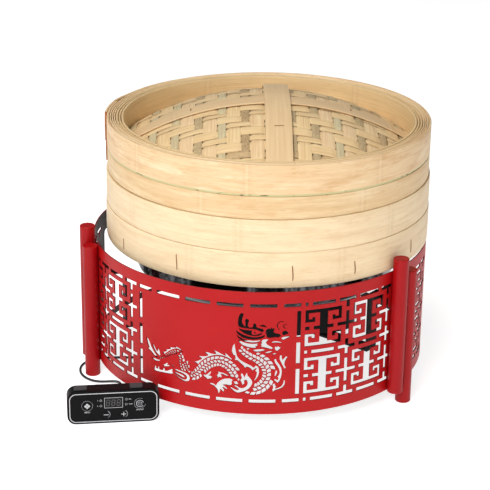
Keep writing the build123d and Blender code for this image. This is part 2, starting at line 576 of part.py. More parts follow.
def post_group(azimuths, z0):
    # round tubes with cross holes for the tube rivets
    with BuildPart() as b:
        with BuildSketch(Plane.XY.offset(z0 + 1.5)):
            for a in azimuths:
                with Locations(pol(R_POST, a)[:2]):
                    Circle(POST_D / 2)
                    Circle(POST_D / 2 - POST_T, mode=Mode.SUBTRACT)
        extrude(amount=L_POST - 3.0)
        for c in PAIRS:
            for z in RIVET_Z:
                m = pol(R_POST * math.cos(rad(HALF_PAIR)), c, z)
                with BuildSketch(Plane(origin=m, x_dir=(0, 0, 1),
                                       z_dir=(-math.sin(rad(c)), math.cos(rad(c)), 0))):
                    Circle(2.55)
                extrude(amount=4.5, both=True, mode=Mode.SUBTRACT)
    return b


low_posts = post_group(low_az, 0.0)
save(low_posts, "low_posts")
raised_posts = post_group(raised_az, Z_RAISED)
save(raised_posts, "raised_posts")

with BuildPart() as caps:
    for azs, z0 in ((low_az, 0.0), (raised_az, Z_RAISED)):
        for z in (z0, z0 + L_POST - 1.5):
            with BuildSketch(Plane.XY.offset(z)):
                for a in azs:
                    with Locations(pol(R_POST, a)[:2]):
                        Circle(POST_D / 2)
            extrude(amount=1.5)
    tops = [f for f in caps.faces().filter_by(Axis.Z) if abs(f.center().Z % 1) >= 0]
    ends = []
    for azs, z0 in ((low_az, 0.0), (raised_az, Z_RAISED)):
        for z in (z0, z0 + L_POST):
            ends += [e for e in caps.edges().filter_by(GeomType.CIRCLE) if abs(e.arc_center.Z - z) < 1e-6]
    chamfer(ends, 0.7)
save(caps, "post_caps")

# tube rivets: a shank through the two touching walls, heads inside both tubes
with BuildPart() as rivets:
    for c in PAIRS:
        for z in RIVET_Z:
            m = pol(R_POST * math.cos(rad(HALF_PAIR)), c, z)
            pl = Plane(origin=m, x_dir=(0, 0, 1), z_dir=(-math.sin(rad(c)), math.cos(rad(c)), 0))
            with BuildSketch(pl):
                Circle(2.5)
            extrude(amount=2.6, both=True)
            with BuildSketch(pl.offset(2.6)):
                Circle(3.6)
            extrude(amount=1.4)
            with BuildSketch(pl.offset(-2.6)):
                Circle(3.6)
            extrude(amount=-1.4)
save(rivets, "post_rivets")

# ---------------------------------------------------------------- arms that link the panels and hold the heating unit
R_LINK = R_RING - T_SHEET
Z_ARM = 134.0
Z_HUB = 62.0


def arm(name, az):
    u = (math.cos(rad(az)), math.sin(rad(az)), 0)
    v = (-math.sin(rad(az)), math.cos(rad(az)), 0)
    side = Plane(origin=(-v[0] * 10, -v[1] * 10, 0), x_dir=u, z_dir=(-v[0], -v[1], 0))
    with BuildPart() as b:
        # bent flat bar 20 x 2.5
        with BuildSketch(side):
            with BuildLine():
                Polyline((204.2, Z_ARM), (206.7, Z_ARM), (206.7, Z_ARM + 34), (204.2, Z_ARM + 34),
                         (204.2, Z_ARM + 2.5), (174.5, Z_ARM + 2.5), (174.5, Z_HUB), (42.0, Z_HUB),
                         (42.0, Z_HUB - 2.5), (177.0, Z_HUB - 2.5), (177.0, Z_ARM), close=True)
            make_face()
        extrude(amount=-20.0)
        # wide link plate against the two panels
        with BuildSketch(Plane(origin=(u[0] * 208.2, u[1] * 208.2, Z_ARM + 17), x_dir=v, z_dir=u)):
            RectangleRounded(44.0, 34.0, 4.0)
        extrude(amount=-1.5)
        # gusset
        with BuildSketch(Plane(origin=(-v[0] * 1.5, -v[1] * 1.5, 0), x_dir=u, z_dir=(-v[0], -v[1], 0))):
            with BuildLine():
                Polyline((204.4, Z_ARM + 2.4), (204.4, Z_ARM + 27), (180.0, Z_ARM + 2.4), close=True)
            make_face()
        extrude(amount=-3.0)
        # holes: two per panel end in the link plate, two in the foot
        for s in (-17.0, 17.0):
            for z in (Z_ARM + 9, Z_ARM + 25):
                with BuildSketch(Plane(origin=(u[0] * 212 + v[0] * s, u[1] * 212 + v[1] * s, z), x_dir=v, z_dir=u)):
                    Circle(1.6)
                extrude(amount=-10, mode=Mode.SUBTRACT)
        for r in (50.0, 64.0):
            with BuildSketch(Plane((u[0] * r, u[1] * r, Z_HUB - 5))):
                Circle(2.1)
            extrude(amount=8, mode=Mode.SUBTRACT)
    save(b, name)
    return b


arm("support_arm_right", PAIRS[1])
arm("support_arm_left", PAIRS[0])
arm("support_arm_rear", PAIRS[2])

with BuildPart() as hub:
    with BuildSketch(Plane.XY.offset(Z_HUB)):
        Circle(76.0)
        Circle(34.0, mode=Mode.SUBTRACT)
        for az in PAIRS:
            for r in (50.0, 64.0):
                with Locations(pol(r, az)[:2]):
                    Circle(2.1, mode=Mode.SUBTRACT)
    extrude(amount=2.5)
save(hub, "support_hub")

with BuildPart() as hub_screws:
    for az in PAIRS:
        for r in (50.0, 64.0):
            with BuildSketch(Plane(pol(r, az, Z_HUB - 6.0))):
                Circle(2.0)
            extrude(amount=8.5)
            with BuildSketch(Plane(pol(r, az, Z_HUB - 6.0))):
                RegularPolygon(3.8, 6)
            extrude(amount=3.2)
save(hub_screws, "hub_screws")

# panel screws: heads on the inner side of the link plates, shanks to the sheet
with BuildPart() as link_screws:
    for az in PAIRS:
        u = (math.cos(rad(az)), math.sin(rad(az)), 0)
        v = (-math.sin(rad(az)), math.cos(rad(az)), 0)
        for s in (-17.0, 17.0):
            for z in (Z_ARM + 9, Z_ARM + 25):
                pl = Plane(origin=(u[0] * 206.7 + v[0] * s, u[1] * 206.7 + v[1] * s, z), x_dir=v, z_dir=u)
                with BuildSketch(pl):
                    Circle(1.55)
                extrude(amount=1.9)
                with BuildSketch(pl):
                    Circle(3.0)
                extrude(amount=-2.0)
save(link_screws, "link_screws")

# ================================================================ heating unit
CU = math.cos(rad(UNIT_YAW))
SU = math.sin(rad(UNIT_YAW))


def upl(z, x=0.0, y=0.0):
    return Plane(origin=(AX + x * CU - y * SU, AY + x * SU + y * CU, z), x_dir=(CU, SU, 0), z_dir=(0, 0, 1))


FAN_X, FAN_Y = -38.0, -38.0
LEAD_X, LEAD_Y = -90.0, 22.0

with BuildPart() as base:
    with BuildSketch(upl(Z_UNIT)):
        RectangleRounded(UNIT_W, UNIT_W, UNIT_R)
    extrude(amount=Z_GLASS - Z_UNIT)
    with BuildSketch(upl(Z_UNIT + 2.5)):
        RectangleRounded(UNIT_W - 5, UNIT_W - 5, UNIT_R - 2.5)
    extrude(amount=Z_GLASS - Z_UNIT, mode=Mode.SUBTRACT)
    # air slots under the fan
    with BuildSketch(upl(Z_UNIT - 1, FAN_X, FAN_Y)):
        with GridLocations(0, 9.0, 1, 7):
            SlotOverall(58, 4.0)
    extrude(amount=6, mode=Mode.SUBTRACT)
    # outlet slots in the side wall
    with BuildSketch(Plane(origin=upl(Z_UNIT + 26, UNIT_W / 2 + 3, 0).origin, x_dir=(-SU, CU, 0), z_dir=(CU, SU, 0))):
        with GridLocations(8.0, 0, 12, 1):
            SlotOverall(26, 3.6, rotation=90)
    extrude(amount=-8, mode=Mode.SUBTRACT)
    # mains gland hole in the wall that faces the right rear window
    with BuildSketch(Plane(origin=upl(Z_UNIT + 22, UNIT_W / 2 + 3, 56).origin, x_dir=(-SU, CU, 0), z_dir=(CU, SU, 0))):
        Circle(6.1)
    extrude(amount=-8, mode=Mode.SUBTRACT)
    # controller lead hole
    with BuildSketch(upl(Z_UNIT - 1, LEAD_X, LEAD_Y)):
        Circle(3.6)
    extrude(amount=6, mode=Mode.SUBTRACT)
save(base, "unit_base")

with BuildPart() as glass:
    with BuildSketch(upl(Z_GLASS)):
        RectangleRounded(UNIT_W, UNIT_W, UNIT_R)
    extrude(amount=4.0)
    fillet(glass.faces().sort_by(Axis.Z)[-1].edges(), 1.0)
save(glass, "unit_glass_top")

with BuildPart() as carrier:
    with BuildSketch(upl(Z_GLASS - 12.0)):
        Circle(78.0)
        Circle(11.0, mode=Mode.SUBTRACT)
    extrude(amount=2.0)
    with BuildSketch(upl(Z_UNIT + 2.5)):
        with Locations((68, -20), (28, -67), (-64, 36)):
            Circle(4.0)
    extrude(amount=Z_GLASS - 12.0 - Z_UNIT - 2.5)
save(carrier, "coil_carrier")

with BuildPart() as coil:
    for i in range(8):
        r = 22.0 + i * 6.6
        with BuildSketch(upl(Z_GLASS - 10.0)):
            Circle(r + 5.4)
            Circle(r, mode=Mode.SUBTRACT)
        extrude(amount=5.0)
save(coil, "induction_coil")

with BuildPart() as ferrites:
    with BuildSketch(upl(Z_GLASS - 17.0)):
        with PolarLocations(46.0, 6, 0):
            Rectangle(46.0, 12.0)
    extrude(amount=5.0)
save(ferrites, "ferrite_bars")

with BuildPart() as sensor:
    with BuildSketch(upl(Z_GLASS - 14.0)):
        Circle(6.0)
    extrude(amount=14.0)
save(sensor, "temperature_sensor")

with BuildPart() as board:
    with BuildSketch(upl(Z_UNIT + 9.0, 20.0, 56.0)):
        Rectangle(120.0, 60.0)
        with GridLocations(110.0, 50.0, 2, 2):
            Circle(1.6, mode=Mode.SUBTRACT)
    extrude(amount=1.6)
save(board, "main_board")

with BuildPart() as sink:
    with BuildSketch(upl(Z_UNIT + 10.6, 52.0, 40.0)):
        Rectangle(44.0, 26.0)
    extrude(amount=3.0)
    with BuildSketch(upl(Z_UNIT + 13.6, 52.0, 40.0)):
        with GridLocations(6.8, 0, 7, 1):
            Rectangle(1.4, 26.0)
    extrude(amount=17.0)
save(sink, "heat_sink")

with BuildPart() as comps:
    for x, y, w, h, z in ((-10, 62, 24, 16, 18), (-25, 40, 14, 14, 22), (12, 40, 10, 18, 14), (20, 70, 30, 10, 12)):
        with BuildSketch(upl(Z_UNIT + 10.6, x, y)):
            RectangleRounded(w, h, 2.0)
        extrude(amount=z)
save(comps, "board_parts")

# axial fan: square frame with a fixed pin, rotor on the pin
with BuildPart() as fan_frame:
    with BuildSketch(upl(Z_UNIT + 2.5, FAN_X, FAN_Y)):
        RectangleRounded(80.0, 80.0, 4.0)
        Circle(37.5, mode=Mode.SUBTRACT)
    extrude(amount=24.0)
    with BuildSketch(upl(Z_UNIT + 2.5, FAN_X, FAN_Y)):
        Circle(11.0)
        with PolarLocations(25.0, 3, 90):
            Rectangle(29.0, 4.0)
    extrude(amount=3.0)
    with BuildSketch(upl(Z_UNIT + 5.5, FAN_X, FAN_Y)):
        Circle(2.0)
    extrude(amount=15.0)
save(fan_frame, "fan_frame")

with BuildPart() as rotor:
    with BuildSketch(upl(Z_UNIT + 7.0, FAN_X, FAN_Y)):
        Circle(14.0)
        Circle(2.05, mode=Mode.SUBTRACT)
    extrude(amount=16.0)
    for i in range(7):
        a = rad(UNIT_YAW + i * 360 / 7)
        o = upl(Z_UNIT + 15.0, FAN_X, FAN_Y).origin
        with BuildSketch(Plane(origin=(o.X + 13.0 * math.cos(a), o.Y + 13.0 * math.sin(a), o.Z),
                               x_dir=(-math.sin(a), math.cos(a), 0), z_dir=(math.cos(a), math.sin(a), 0))):
            with Locations(Location((0, 0), 38)):
                Rectangle(19.0, 1.6)
        extrude(amount=22.5)
save(rotor, "fan_rotor")

with BuildPart() as mgland:
    pl = Plane(origin=upl(Z_UNIT + 22, UNIT_W / 2, 56).origin, x_dir=(-SU, CU, 0), z_dir=(CU, SU, 0))
    with BuildSketch(pl):
        RegularPolygon(9.0, 6)
    extrude(amount=3.0)
    with BuildSketch(pl.offset(3.0)):
        Circle(6.6)
    extrude(amount=11.0)
    with BuildSketch(pl):
        Circle(6.0)
    extrude(amount=-7.0)
    with BuildSketch(pl.offset(15.0)):
        Circle(3.6)
    extrude(amount=-24.0, mode=Mode.SUBTRACT)
save(mgland, "mains_gland")

with BuildPart() as feet:
    with BuildSketch(upl(Z_HUB + 2.5)):
        with GridLocations(88.0, 88.0, 2, 2):
            Circle(9.0)
    extrude(amount=Z_UNIT - Z_HUB - 2.5)
save(feet, "unit_feet")

G = upl(0, LEAD_X, LEAD_Y).origin
with BuildPart() as gland:
    with BuildSketch(Plane((G.X, G.Y, Z_UNIT - 3.0))):
        Circle(6.0)
    extrude(amount=3.0)
    with BuildSketch(Plane((G.X, G.Y, Z_UNIT))):
        Circle(3.5)
    extrude(amount=5.5)
    with BuildSketch(Plane((G.X, G.Y, Z_UNIT - 3.0))):
        Circle(4.2)
    with BuildSketch(Plane((G.X, G.Y, Z_UNIT - 15.0))):
        Circle(2.4)
    loft()
save(gland, "unit_gland")

# ================================================================ water pan
with BuildPart() as pan:
    with BuildSketch(Plane(origin=(AX, AY, 0), x_dir=(1, 0, 0), z_dir=(0, -1, 0))):
        with BuildLine():
            Polyline((0, Z_PAN + 0.2), (R_PAN - 14, Z_PAN + 0.2), (R_PAN - 5, Z_PAN + 3.5), (R_PAN, Z_PAN + 13),
                     (R_PAN, Z_BASKET - 1.2), (R_PAN + 4.0, Z_BASKET - 1.2), (R_PAN + 4.0, Z_BASKET - 0.2),
                     (R_PAN - 1.0, Z_BASKET - 0.2), (R_PAN - 1.0, Z_PAN + 13.3), (R_PAN - 5.7, Z_PAN + 4.4),
                     (R_PAN - 14.2, Z_PAN + 1.2), (0, Z_PAN + 1.2), close=True)
        make_face()
    revolve(axis=Axis((AX, AY, 0), (0, 0, 1)))
save(pan, "water_pan")

# ================================================================ basket
save(ring(199.3, R_BAND - 0.6, Z_SEAM_B, Z_SEAM, BX, BY), "basket_upper_band")
save(ring(199.3, R_BAND, Z_BASKET, Z_SEAM_B, BX, BY), "basket_lower_band")
save(ring(190.6, 199.3, Z_BASKET, Z_SEAM, BX, BY), "basket_middle_hoop")
save(ring(R_IN, 190.3, Z_BASKET + 14.0, Z_SEAM + 11.0, BX, BY), "basket_inner_hoop")

STRAP_AZ = 102.4
bear_dir = rad(STRAP_AZ)
with BuildPart() as bearers:
    for off in (-95.0, 0.0, 95.0):
        half = math.sqrt(189.5 ** 2 - (abs(off) + 9.0) ** 2)
        pl = Plane(origin=(BX - off * math.sin(bear_dir), BY + off * math.cos(bear_dir), Z_BASKET),
                   x_dir=(math.cos(bear_dir), math.sin(bear_dir), 0), z_dir=(0, 0, 1))
        with BuildSketch(pl):
            Rectangle(2 * half, 18.0)
        extrude(amount=8.0)
save(bearers, "basket_bearers")

with BuildPart() as slats:
    n = 14
    for i in range(n):
        off = (i - (n - 1) / 2) * 26.2
        half = math.sqrt(max(10.0, 188.0 ** 2 - (abs(off) + 10.5) ** 2))
        pl = Plane(origin=(BX + off * math.cos(bear_dir), BY + off * math.sin(bear_dir), Z_BASKET + 8.0),
                   x_dir=(-math.sin(bear_dir), math.cos(bear_dir), 0), z_dir=(0, 0, 1))
        with BuildSketch(pl):
            Rectangle(2 * half, 21.0)
        extrude(amount=5.6)
save(slats, "basket_slats")


def stitches(name, spots, r):
    # bamboo thread stitches standing on the band
    with BuildPart() as b:
        for az, z0, z1 in spots:
            a = rad(az)
            with BuildSketch(Plane(origin=(BX + r * math.cos(a), BY + r * math.sin(a), (z0 + z1) / 2),
                                   x_dir=(-math.sin(a), math.cos(a), 0), z_dir=(math.cos(a), math.sin(a), 0))):
                SlotOverall(z1 - z0, 1.3, rotation=90)
            extrude(amount=0.5)
    save(b, name)


stitches("basket_stitches", [(-137.5, 184, 201), (-110.2, 186, 208), (-70.4, 186, 207), (-48.4, 186, 204),
                             (-20.0, 186, 206), (30.0, 186, 206), (80.0, 186, 206), (130.0, 186, 206), (175.0, 186, 205)], R_BAND)

# ================================================================ lid
save(ring(197.9, R_LID, Z_SEAM_L, Z_LID, BX, BY), "lid_upper_band")
save(ring(197.9, R_LID - 0.4, Z_SEAM + 0.3, Z_SEAM_L, BX, BY), "lid_lower_band")
save(ring(190.6, 197.9, Z_SEAM + 0.3, Z_LID, BX, BY), "lid_middle_hoop")
save(ring(R_IN_L, 190.6, Z_SEAM + 12.5, Z_LID - 1.0, BX, BY), "lid_inner_hoop")

RISE = Z_APEX - 3.5 - Z_EDGE
RE = R_IN_L
RS = (RE * RE + RISE * RISE) / (2 * RISE)


def dome_z(r):
    return Z_EDGE + RISE - RS + math.sqrt(RS * RS - r * r)


with BuildPart() as dome:
    with BuildSketch(Plane(origin=(BX, BY, 0), x_dir=(1, 0, 0), z_dir=(0, -1, 0))):
        with BuildLine():
            ThreePointArc((0, dome_z(0)), (92, dome_z(92)), (RE - 0.4, dome_z(RE - 0.4)))
            Line((RE - 0.4, dome_z(RE - 0.4)), (RE - 0.4, dome_z(RE - 0.4) - 3.0))
            ThreePointArc((RE - 0.4, dome_z(RE - 0.4) - 3.0), (92, dome_z(92) - 3.0), (0, dome_z(0) - 3.0))
            Line((0, dome_z(0) - 3.0), (0, dome_z(0)))
        make_face()
    revolve(axis=Axis((BX, BY, 0), (0, 0, 1)))
save(dome, "lid_woven_dome")


def strap(name, az, off, width, lift, reach):
    # an arched strap following the dome, in a vertical plane at off from the dome's middle
    c, s = math.cos(rad(az)), math.sin(rad(az))
    rs = math.sqrt((RS + lift) ** 2 - off * off)
    zc = Z_EDGE + RISE - RS

    def pz(x, extra):
        return zc + math.sqrt((RS + lift + extra) ** 2 - off * off - x * x)
    with BuildPart() as b:
        with BuildSketch(Plane(origin=(BX - s * (off - width / 2), BY + c * (off - width / 2), 0),
                               x_dir=(c, s, 0), z_dir=(s, -c, 0))):
            with BuildLine():
                ThreePointArc((-reach, pz(-reach, 1.8)), (0, pz(0, 1.8)), (reach, pz(reach, 1.8)))
                Line((reach, pz(reach, 1.8)), (reach, pz(reach, 0)))
                ThreePointArc((reach, pz(reach, 0)), (0, pz(0, 0)), (-reach, pz(-reach, 0)))
                Line((-reach, pz(-reach, 0)), (-reach, pz(-reach, 1.8)))
            make_face()
        extrude(amount=-width)
    save(b, name)


strap("lid_cross_strap", 15.0, -10.5, 33.0, 0.35, 174.0)
strap("lid_front_back_strap", STRAP_AZ, -9.3, 31.8, 3.4, 175.0)
stitches("lid_stitches", [(-95.0, 268, 284), (-40.0, 268, 284), (60.0, 268, 284), (150.0, 268, 284)], R_LID - 0.4)

# ================================================================ wired controller
CC = math.cos(rad(CTL_YAW))
CS = math.sin(rad(CTL_YAW))


def cpl(y, x=0.0, z=0.0):
    # a plane across the controller at depth y, facing out of its front
    return Plane(origin=(CTL_X + x * CC - y * CS, CTL_Y + x * CS + y * CC, z), x_dir=(CC, CS, 0), z_dir=(CS, -CC, 0))


ZC = CTL_H / 2
BUTTONS = {"menu_button": (-31.2, 24.0, 5.8), "power_button": (31.6, 24.6, 5.9),
           "minus_button": (-8.8, 11.6, 3.6), "plus_button": (12.1, 11.6, 3.6)}
LEDS = ((-15.0, 30.4), (-15.0, 23.2), (15.4, 30.8), (15.4, 24.2))

with BuildPart() as cback:
    with BuildSketch(cpl(CTL_D, 0, ZC)):
        RectangleRounded(CTL_W, CTL_H, 11.0)
    extrude(amount=CTL_D - 3.0)
    fillet(cback.faces().sort_by(Axis((0, 0, 0), (CS, -CC, 0)))[0].edges(), 2.0)
    with BuildSketch(cpl(CTL_D - 2.0, 0, ZC)):
        RectangleRounded(CTL_W - 5, CTL_H - 5, 8.5)
    extrude(amount=CTL_D, mode=Mode.SUBTRACT)
    with BuildSketch(cpl(CTL_D + 1, 12.0, 22.0)):
        Circle(2.6)
    extrude(amount=6, mode=Mode.SUBTRACT)
save(cback, "controller_back_shell")

with BuildPart() as bezel:
    with BuildSketch(cpl(3.0, 0, ZC)):
        RectangleRounded(CTL_W, CTL_H, 11.0)
    extrude(amount=3.0)
    fillet(bezel.faces().sort_by(Axis((0, 0, 0), (CS, -CC, 0)))[-1].edges(), 0.8)
    for x, z, r in BUTTONS.values():
        with BuildSketch(cpl(4.0, x, z)):
            Circle(r + 0.25)
        extrude(amount=6, mode=Mode.SUBTRACT)
    with BuildSketch(cpl(1.0, 0.2, 27.0)):
        RectangleRounded(22.8, 14.4, 1.5)
    extrude(amount=3, mode=Mode.SUBTRACT)
    with BuildSketch(cpl(4.0, 0.2, 27.0)):
        Rectangle(19.0, 9.0)
    extrude(amount=6, mode=Mode.SUBTRACT)
    for x, z in LEDS:
        with BuildSketch(cpl(4.0, x, z)):
            Circle(1.0)
        extrude(amount=6, mode=Mode.SUBTRACT)
save(bezel, "controller_front")

with BuildPart() as trim:
    with BuildSketch(cpl(0.0, 0, ZC)):
        RectangleRounded(CTL_W - 5.2, CTL_H - 5.2, 8.4)
        RectangleRounded(CTL_W - 7.0, CTL_H - 7.0, 7.5, mode=Mode.SUBTRACT)
    extrude(amount=0.4)
save(trim, "controller_trim")

with BuildPart() as window_:
    with BuildSketch(cpl(1.0, 0.2, 27.0)):
        RectangleRounded(22.6, 14.2, 1.4)
    extrude(amount=1.1)
save(window_, "display_window")

with BuildPart() as display:
    with BuildSketch(cpl(9.0, 0.2, 27.0)):
        Rectangle(18.6, 8.6)
    extrude(amount=7.6)
save(display, "digit_display")

for name, (x, z, r) in BUTTONS.items():
    with BuildPart() as btn:
        with BuildSketch(cpl(5.6, x, z)):
            Circle(r)
        extrude(amount=6.0)
        fillet(btn.faces().sort_by(Axis((0, 0, 0), (CS, -CC, 0)))[-1].edges(), 0.35)
        with BuildSketch(cpl(6.2, x, z)):
            Circle(r + 0.9)
        extrude(amount=1.6)
    save(btn, name)

with BuildPart() as leds:
    for x, z in LEDS:
        with BuildSketch(cpl(9.0, x, z)):
            Circle(0.9)
        extrude(amount=9.0)
save(leds, "indicator_leds")

with BuildPart() as cboard:
    with BuildSketch(cpl(10.6, 0, ZC)):
        RectangleRounded(CTL_W - 10, CTL_H - 9, 3.0)
    extrude(amount=1.6)
save(cboard, "controller_board")

with BuildPart() as switches:
    for x, z, r in BUTTONS.values():
        with BuildSketch(cpl(9.0, x, z)):
            Rectangle(4.5, 4.5)
        extrude(amount=1.6)
save(switches, "button_switches")

with BuildPart() as clips:
    for x in (-38.6, 27.9):
        with BuildSketch(Plane(origin=cpl(10.0, x, CTL_H).origin, x_dir=(CC, CS, 0), z_dir=(0, 0, 1))):
            RectangleRounded(15.4, 11.0, 2.0)
        extrude(amount=1.5)
save(clips, "controller_pads")

with BuildPart() as cscrews:
    for x in (-46.0, 46.0):
        for z in (9.0, 34.0):
            with BuildSketch(cpl(CTL_D + 0.6, x, z)):
                Circle(2.6)
            extrude(amount=0.6)
save(cscrews, "controller_screws")

with BuildPart() as boot:
    with BuildSketch(cpl(CTL_D, 12.0, 22.0)):
        Circle(4.2)
    with BuildSketch(cpl(CTL_D + 13.0, 12.0, 22.0)):
        Circle(2.4)
    loft()
    with BuildSketch(cpl(CTL_D, 12.0, 22.0)):
        Circle(2.5)
    extrude(amount=3.0)
save(boot, "controller_boot")

# ---------------------------------------------------------------- controller lead
S = cpl(CTL_D + 13.0, 12.0, 22.0).origin
ROUTE = [(S.X, S.Y, S.Z), (S.X - 12.5 * CS, S.Y + 12.5 * CC, S.Z), (-137.0, -171.0, 21.4), (-144.6, -157.0, 17.4),
         (-156.6, -146.6, 11.6), (-171.6, -140.4, 6.2), (-187.4, -132.0, 2.2), (-202.5, -120.8, 1.6),
         (-211.6, -104.6, 1.6), (-213.0, -85.8, 1.6), (-204.2, -69.6, 1.6), (-187.0, -60.6, 1.6),
         (-164.0, -55.2, 1.6), (-134.0, -46.6, 1.6), (-110.0, -38.0, 1.6), (-93.6, -29.6, 6.6),
         (-86.4, -23.4, 18.0), (G.X, G.Y, 34.0), (G.X, G.Y, Z_UNIT - 15.0)]


def radii(points):
    out = []
    for a, b, c in zip(points, points[1:], points[2:]):
        v1 = Vector(*b) - Vector(*a)
        v2 = Vector(*c) - Vector(*b)
        turn = v1.get_angle(v2)
        out.append(0.45 * min(v1.length, v2.length) / math.tan(rad(turn) / 2))
    return out


RAD = radii(ROUTE)
print("cord radii", [round(r, 1) for r in RAD])
print("cord runs", [round((Vector(*b) - Vector(*a)).length, 1) for a, b in zip(ROUTE, ROUTE[1:])])
with BuildPart() as cord:
    with BuildLine() as path:
        FilletPolyline(*ROUTE, radius=RAD)
    first = Vector(*ROUTE[1]) - Vector(*ROUTE[0])
    with BuildSketch(Plane(origin=ROUTE[0], z_dir=first)):
        Circle(CORD_D / 2)
    sweep()
save(cord, "controller_lead")
length = sum(e.length for e in path.edges())
print("cord length", round(length, 1), "volume ratio",
      round(cord.part.volume / (math.pi * CORD_D ** 2 / 4 * length), 4))
print("box without the lead", [round(v, 2) for v in LOW], [round(v, 2) for v in HIGH],
      "shift to centre", [round(-(a + b) / 2, 3) for a, b in zip(LOW, HIGH)][:2])
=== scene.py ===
import math
import random

import bmesh
import bpy
from mathutils import Matrix, Vector
from mathutils.geometry import delaunay_2d_cdt


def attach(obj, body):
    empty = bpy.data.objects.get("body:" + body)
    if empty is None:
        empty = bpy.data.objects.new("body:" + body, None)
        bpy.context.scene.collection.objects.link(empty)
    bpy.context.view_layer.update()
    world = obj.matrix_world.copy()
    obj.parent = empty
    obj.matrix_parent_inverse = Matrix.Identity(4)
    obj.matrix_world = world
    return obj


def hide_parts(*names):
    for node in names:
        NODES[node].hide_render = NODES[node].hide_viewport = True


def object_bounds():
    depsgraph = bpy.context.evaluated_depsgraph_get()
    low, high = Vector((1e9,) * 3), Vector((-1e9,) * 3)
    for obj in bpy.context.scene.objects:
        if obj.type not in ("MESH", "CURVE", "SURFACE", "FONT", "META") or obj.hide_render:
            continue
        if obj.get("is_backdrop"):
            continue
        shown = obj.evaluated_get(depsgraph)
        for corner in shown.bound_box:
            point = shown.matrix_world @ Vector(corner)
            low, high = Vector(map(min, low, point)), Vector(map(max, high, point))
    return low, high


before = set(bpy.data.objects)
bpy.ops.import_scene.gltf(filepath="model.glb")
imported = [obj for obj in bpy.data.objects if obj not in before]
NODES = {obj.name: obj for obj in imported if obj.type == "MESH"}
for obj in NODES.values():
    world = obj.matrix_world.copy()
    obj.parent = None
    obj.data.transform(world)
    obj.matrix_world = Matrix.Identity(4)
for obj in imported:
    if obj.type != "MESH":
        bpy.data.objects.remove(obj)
CAD_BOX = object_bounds()

# lengths below are millimetres in the row frame, and MM brings them to metres
MM = 0.001
DY = 10.05
AX, AY = 6.9, 1.3 + DY          # axis of the pan and the heating unit
BX, BY = 8.2, 3.0 + DY          # axis of the basket and the lid
R_RING, T_SHEET, Z_RING, H_RING = 211.0, 1.5, 19.5, 157.0
Z_MID = Z_RING + H_RING / 2
Z_BASKET, Z_SEAM_B, Z_SEAM, Z_SEAM_L, Z_LID = 178.2, 221.7, 261.6, 289.4, 326.8
R_IN, R_BAND = 183.0, 203.0
R_IN_L, R_LID = 180.5, 201.0
Z_EDGE, Z_APEX = 295.0, 351.5
STRAP_AZ, LONG_OFF = 102.4, -9.3
CROSS_AZ, CROSS_OFF = 15.0, -10.5
R_PAN, Z_PAN = 165.0, 129.0
CTL_W, CTL_H, CTL_D = 110.0, 43.0, 20.0
CTL_X, CTL_Y, CTL_YAW = -129.0, -231.75 + DY, 19.5
CC, CS = math.cos(math.radians(CTL_YAW)), math.sin(math.radians(CTL_YAW))


def rad(a):
    return math.radians(a)


# ================================================================ node materials
class Mat:
    def __init__(self, name, **sockets):
        self.m = bpy.data.materials.new(name)
        self.m.use_nodes = True
        self.t = self.m.node_tree
        self.b = self.t.nodes["Principled BSDF"]
        for k, v in sockets.items():
            self.b.inputs[k.replace("_", " ")].default_value = v

    def add(self, kind, ins=(), **props):
        n = self.t.nodes.new(kind)
        for k, v in props.items():
            setattr(n, k, v)
        for k, v in dict(ins).items():
            self.put(n.inputs[k], v)
        return n

    def put(self, socket, v):
        if isinstance(v, bpy.types.NodeSocket):
            self.t.links.new(v, socket)
        else:
            socket.default_value = v

    def obj(self):
        return self.add("ShaderNodeTexCoord").outputs["Object"]

    def vec(self, name):
        return self.add("ShaderNodeAttribute", attribute_name=name).outputs["Vector"]

    def fac(self, name):
        return self.add("ShaderNodeAttribute", attribute_name=name).outputs["Fac"]

    def stretch(self, v, s):
        return self.add("ShaderNodeVectorMath", {0: v, 1: s}, operation="MULTIPLY").outputs[0]

    def noise(self, v, scale=1.0, detail=3.0, rough=0.55, distort=0.0):
        return self.add("ShaderNodeTexNoise", {"Vector": v, "Scale": scale, "Detail": detail, "Roughness": rough,
                                               "Distortion": distort}).outputs["Fac"]

    def voronoi(self, v, scale=1.0, feature="F1"):
        return self.add("ShaderNodeTexVoronoi", {"Vector": v, "Scale": scale}, feature=feature).outputs["Distance"]

    def math(self, op, a, b=0.0, c=None):
        ins = {0: a, 1: b}
        if c is not None:
            ins[2] = c
        return self.add("ShaderNodeMath", ins, operation=op).outputs[0]

    def map(self, x, a, b, c=0.0, d=1.0, kind="LINEAR"):
        return self.add("ShaderNodeMapRange", {0: x, 1: a, 2: b, 3: c, 4: d}, interpolation_type=kind).outputs[0]

    def mix(self, f, a, b, mode="MIX"):
        n = self.add("ShaderNodeMix", data_type="RGBA", blend_type=mode)
        for i, v in ((0, f), (6, a), (7, b)):
            if not isinstance(v, bpy.types.NodeSocket) and i > 0 and len(v) == 3:
                v = (*v, 1.0)
            self.put(n.inputs[i], v)
        return n.outputs[2]

    def ramp(self, f, stops):
        n = self.add("ShaderNodeValToRGB", {0: f})
        e = n.color_ramp.elements
        while len(e) < len(stops):
            e.new(0.5)
        for x, (p, c) in zip(e, stops):
            x.position = p
            x.color = (*c, 1.0)
        return n.outputs[0]

    def out(self, color=None, rough=None, height=None, strength=0.3, distance=0.001):
        if color is not None:
            self.put(self.b.inputs["Base Color"], color)
        if rough is not None:
            self.put(self.b.inputs["Roughness"], rough)
        if height is not None:
            n = self.add("ShaderNodeBump", {"Height": height, "Strength": strength, "Distance": distance})
            self.t.links.new(n.outputs[0], self.b.inputs["Normal"])
        return self.m


def srgb(r, g, b):
    return tuple((c / 255 / 12.92) if c / 255 <= 0.04045 else ((c / 255 + 0.055) / 1.055) ** 2.4 for c in (r, g, b))


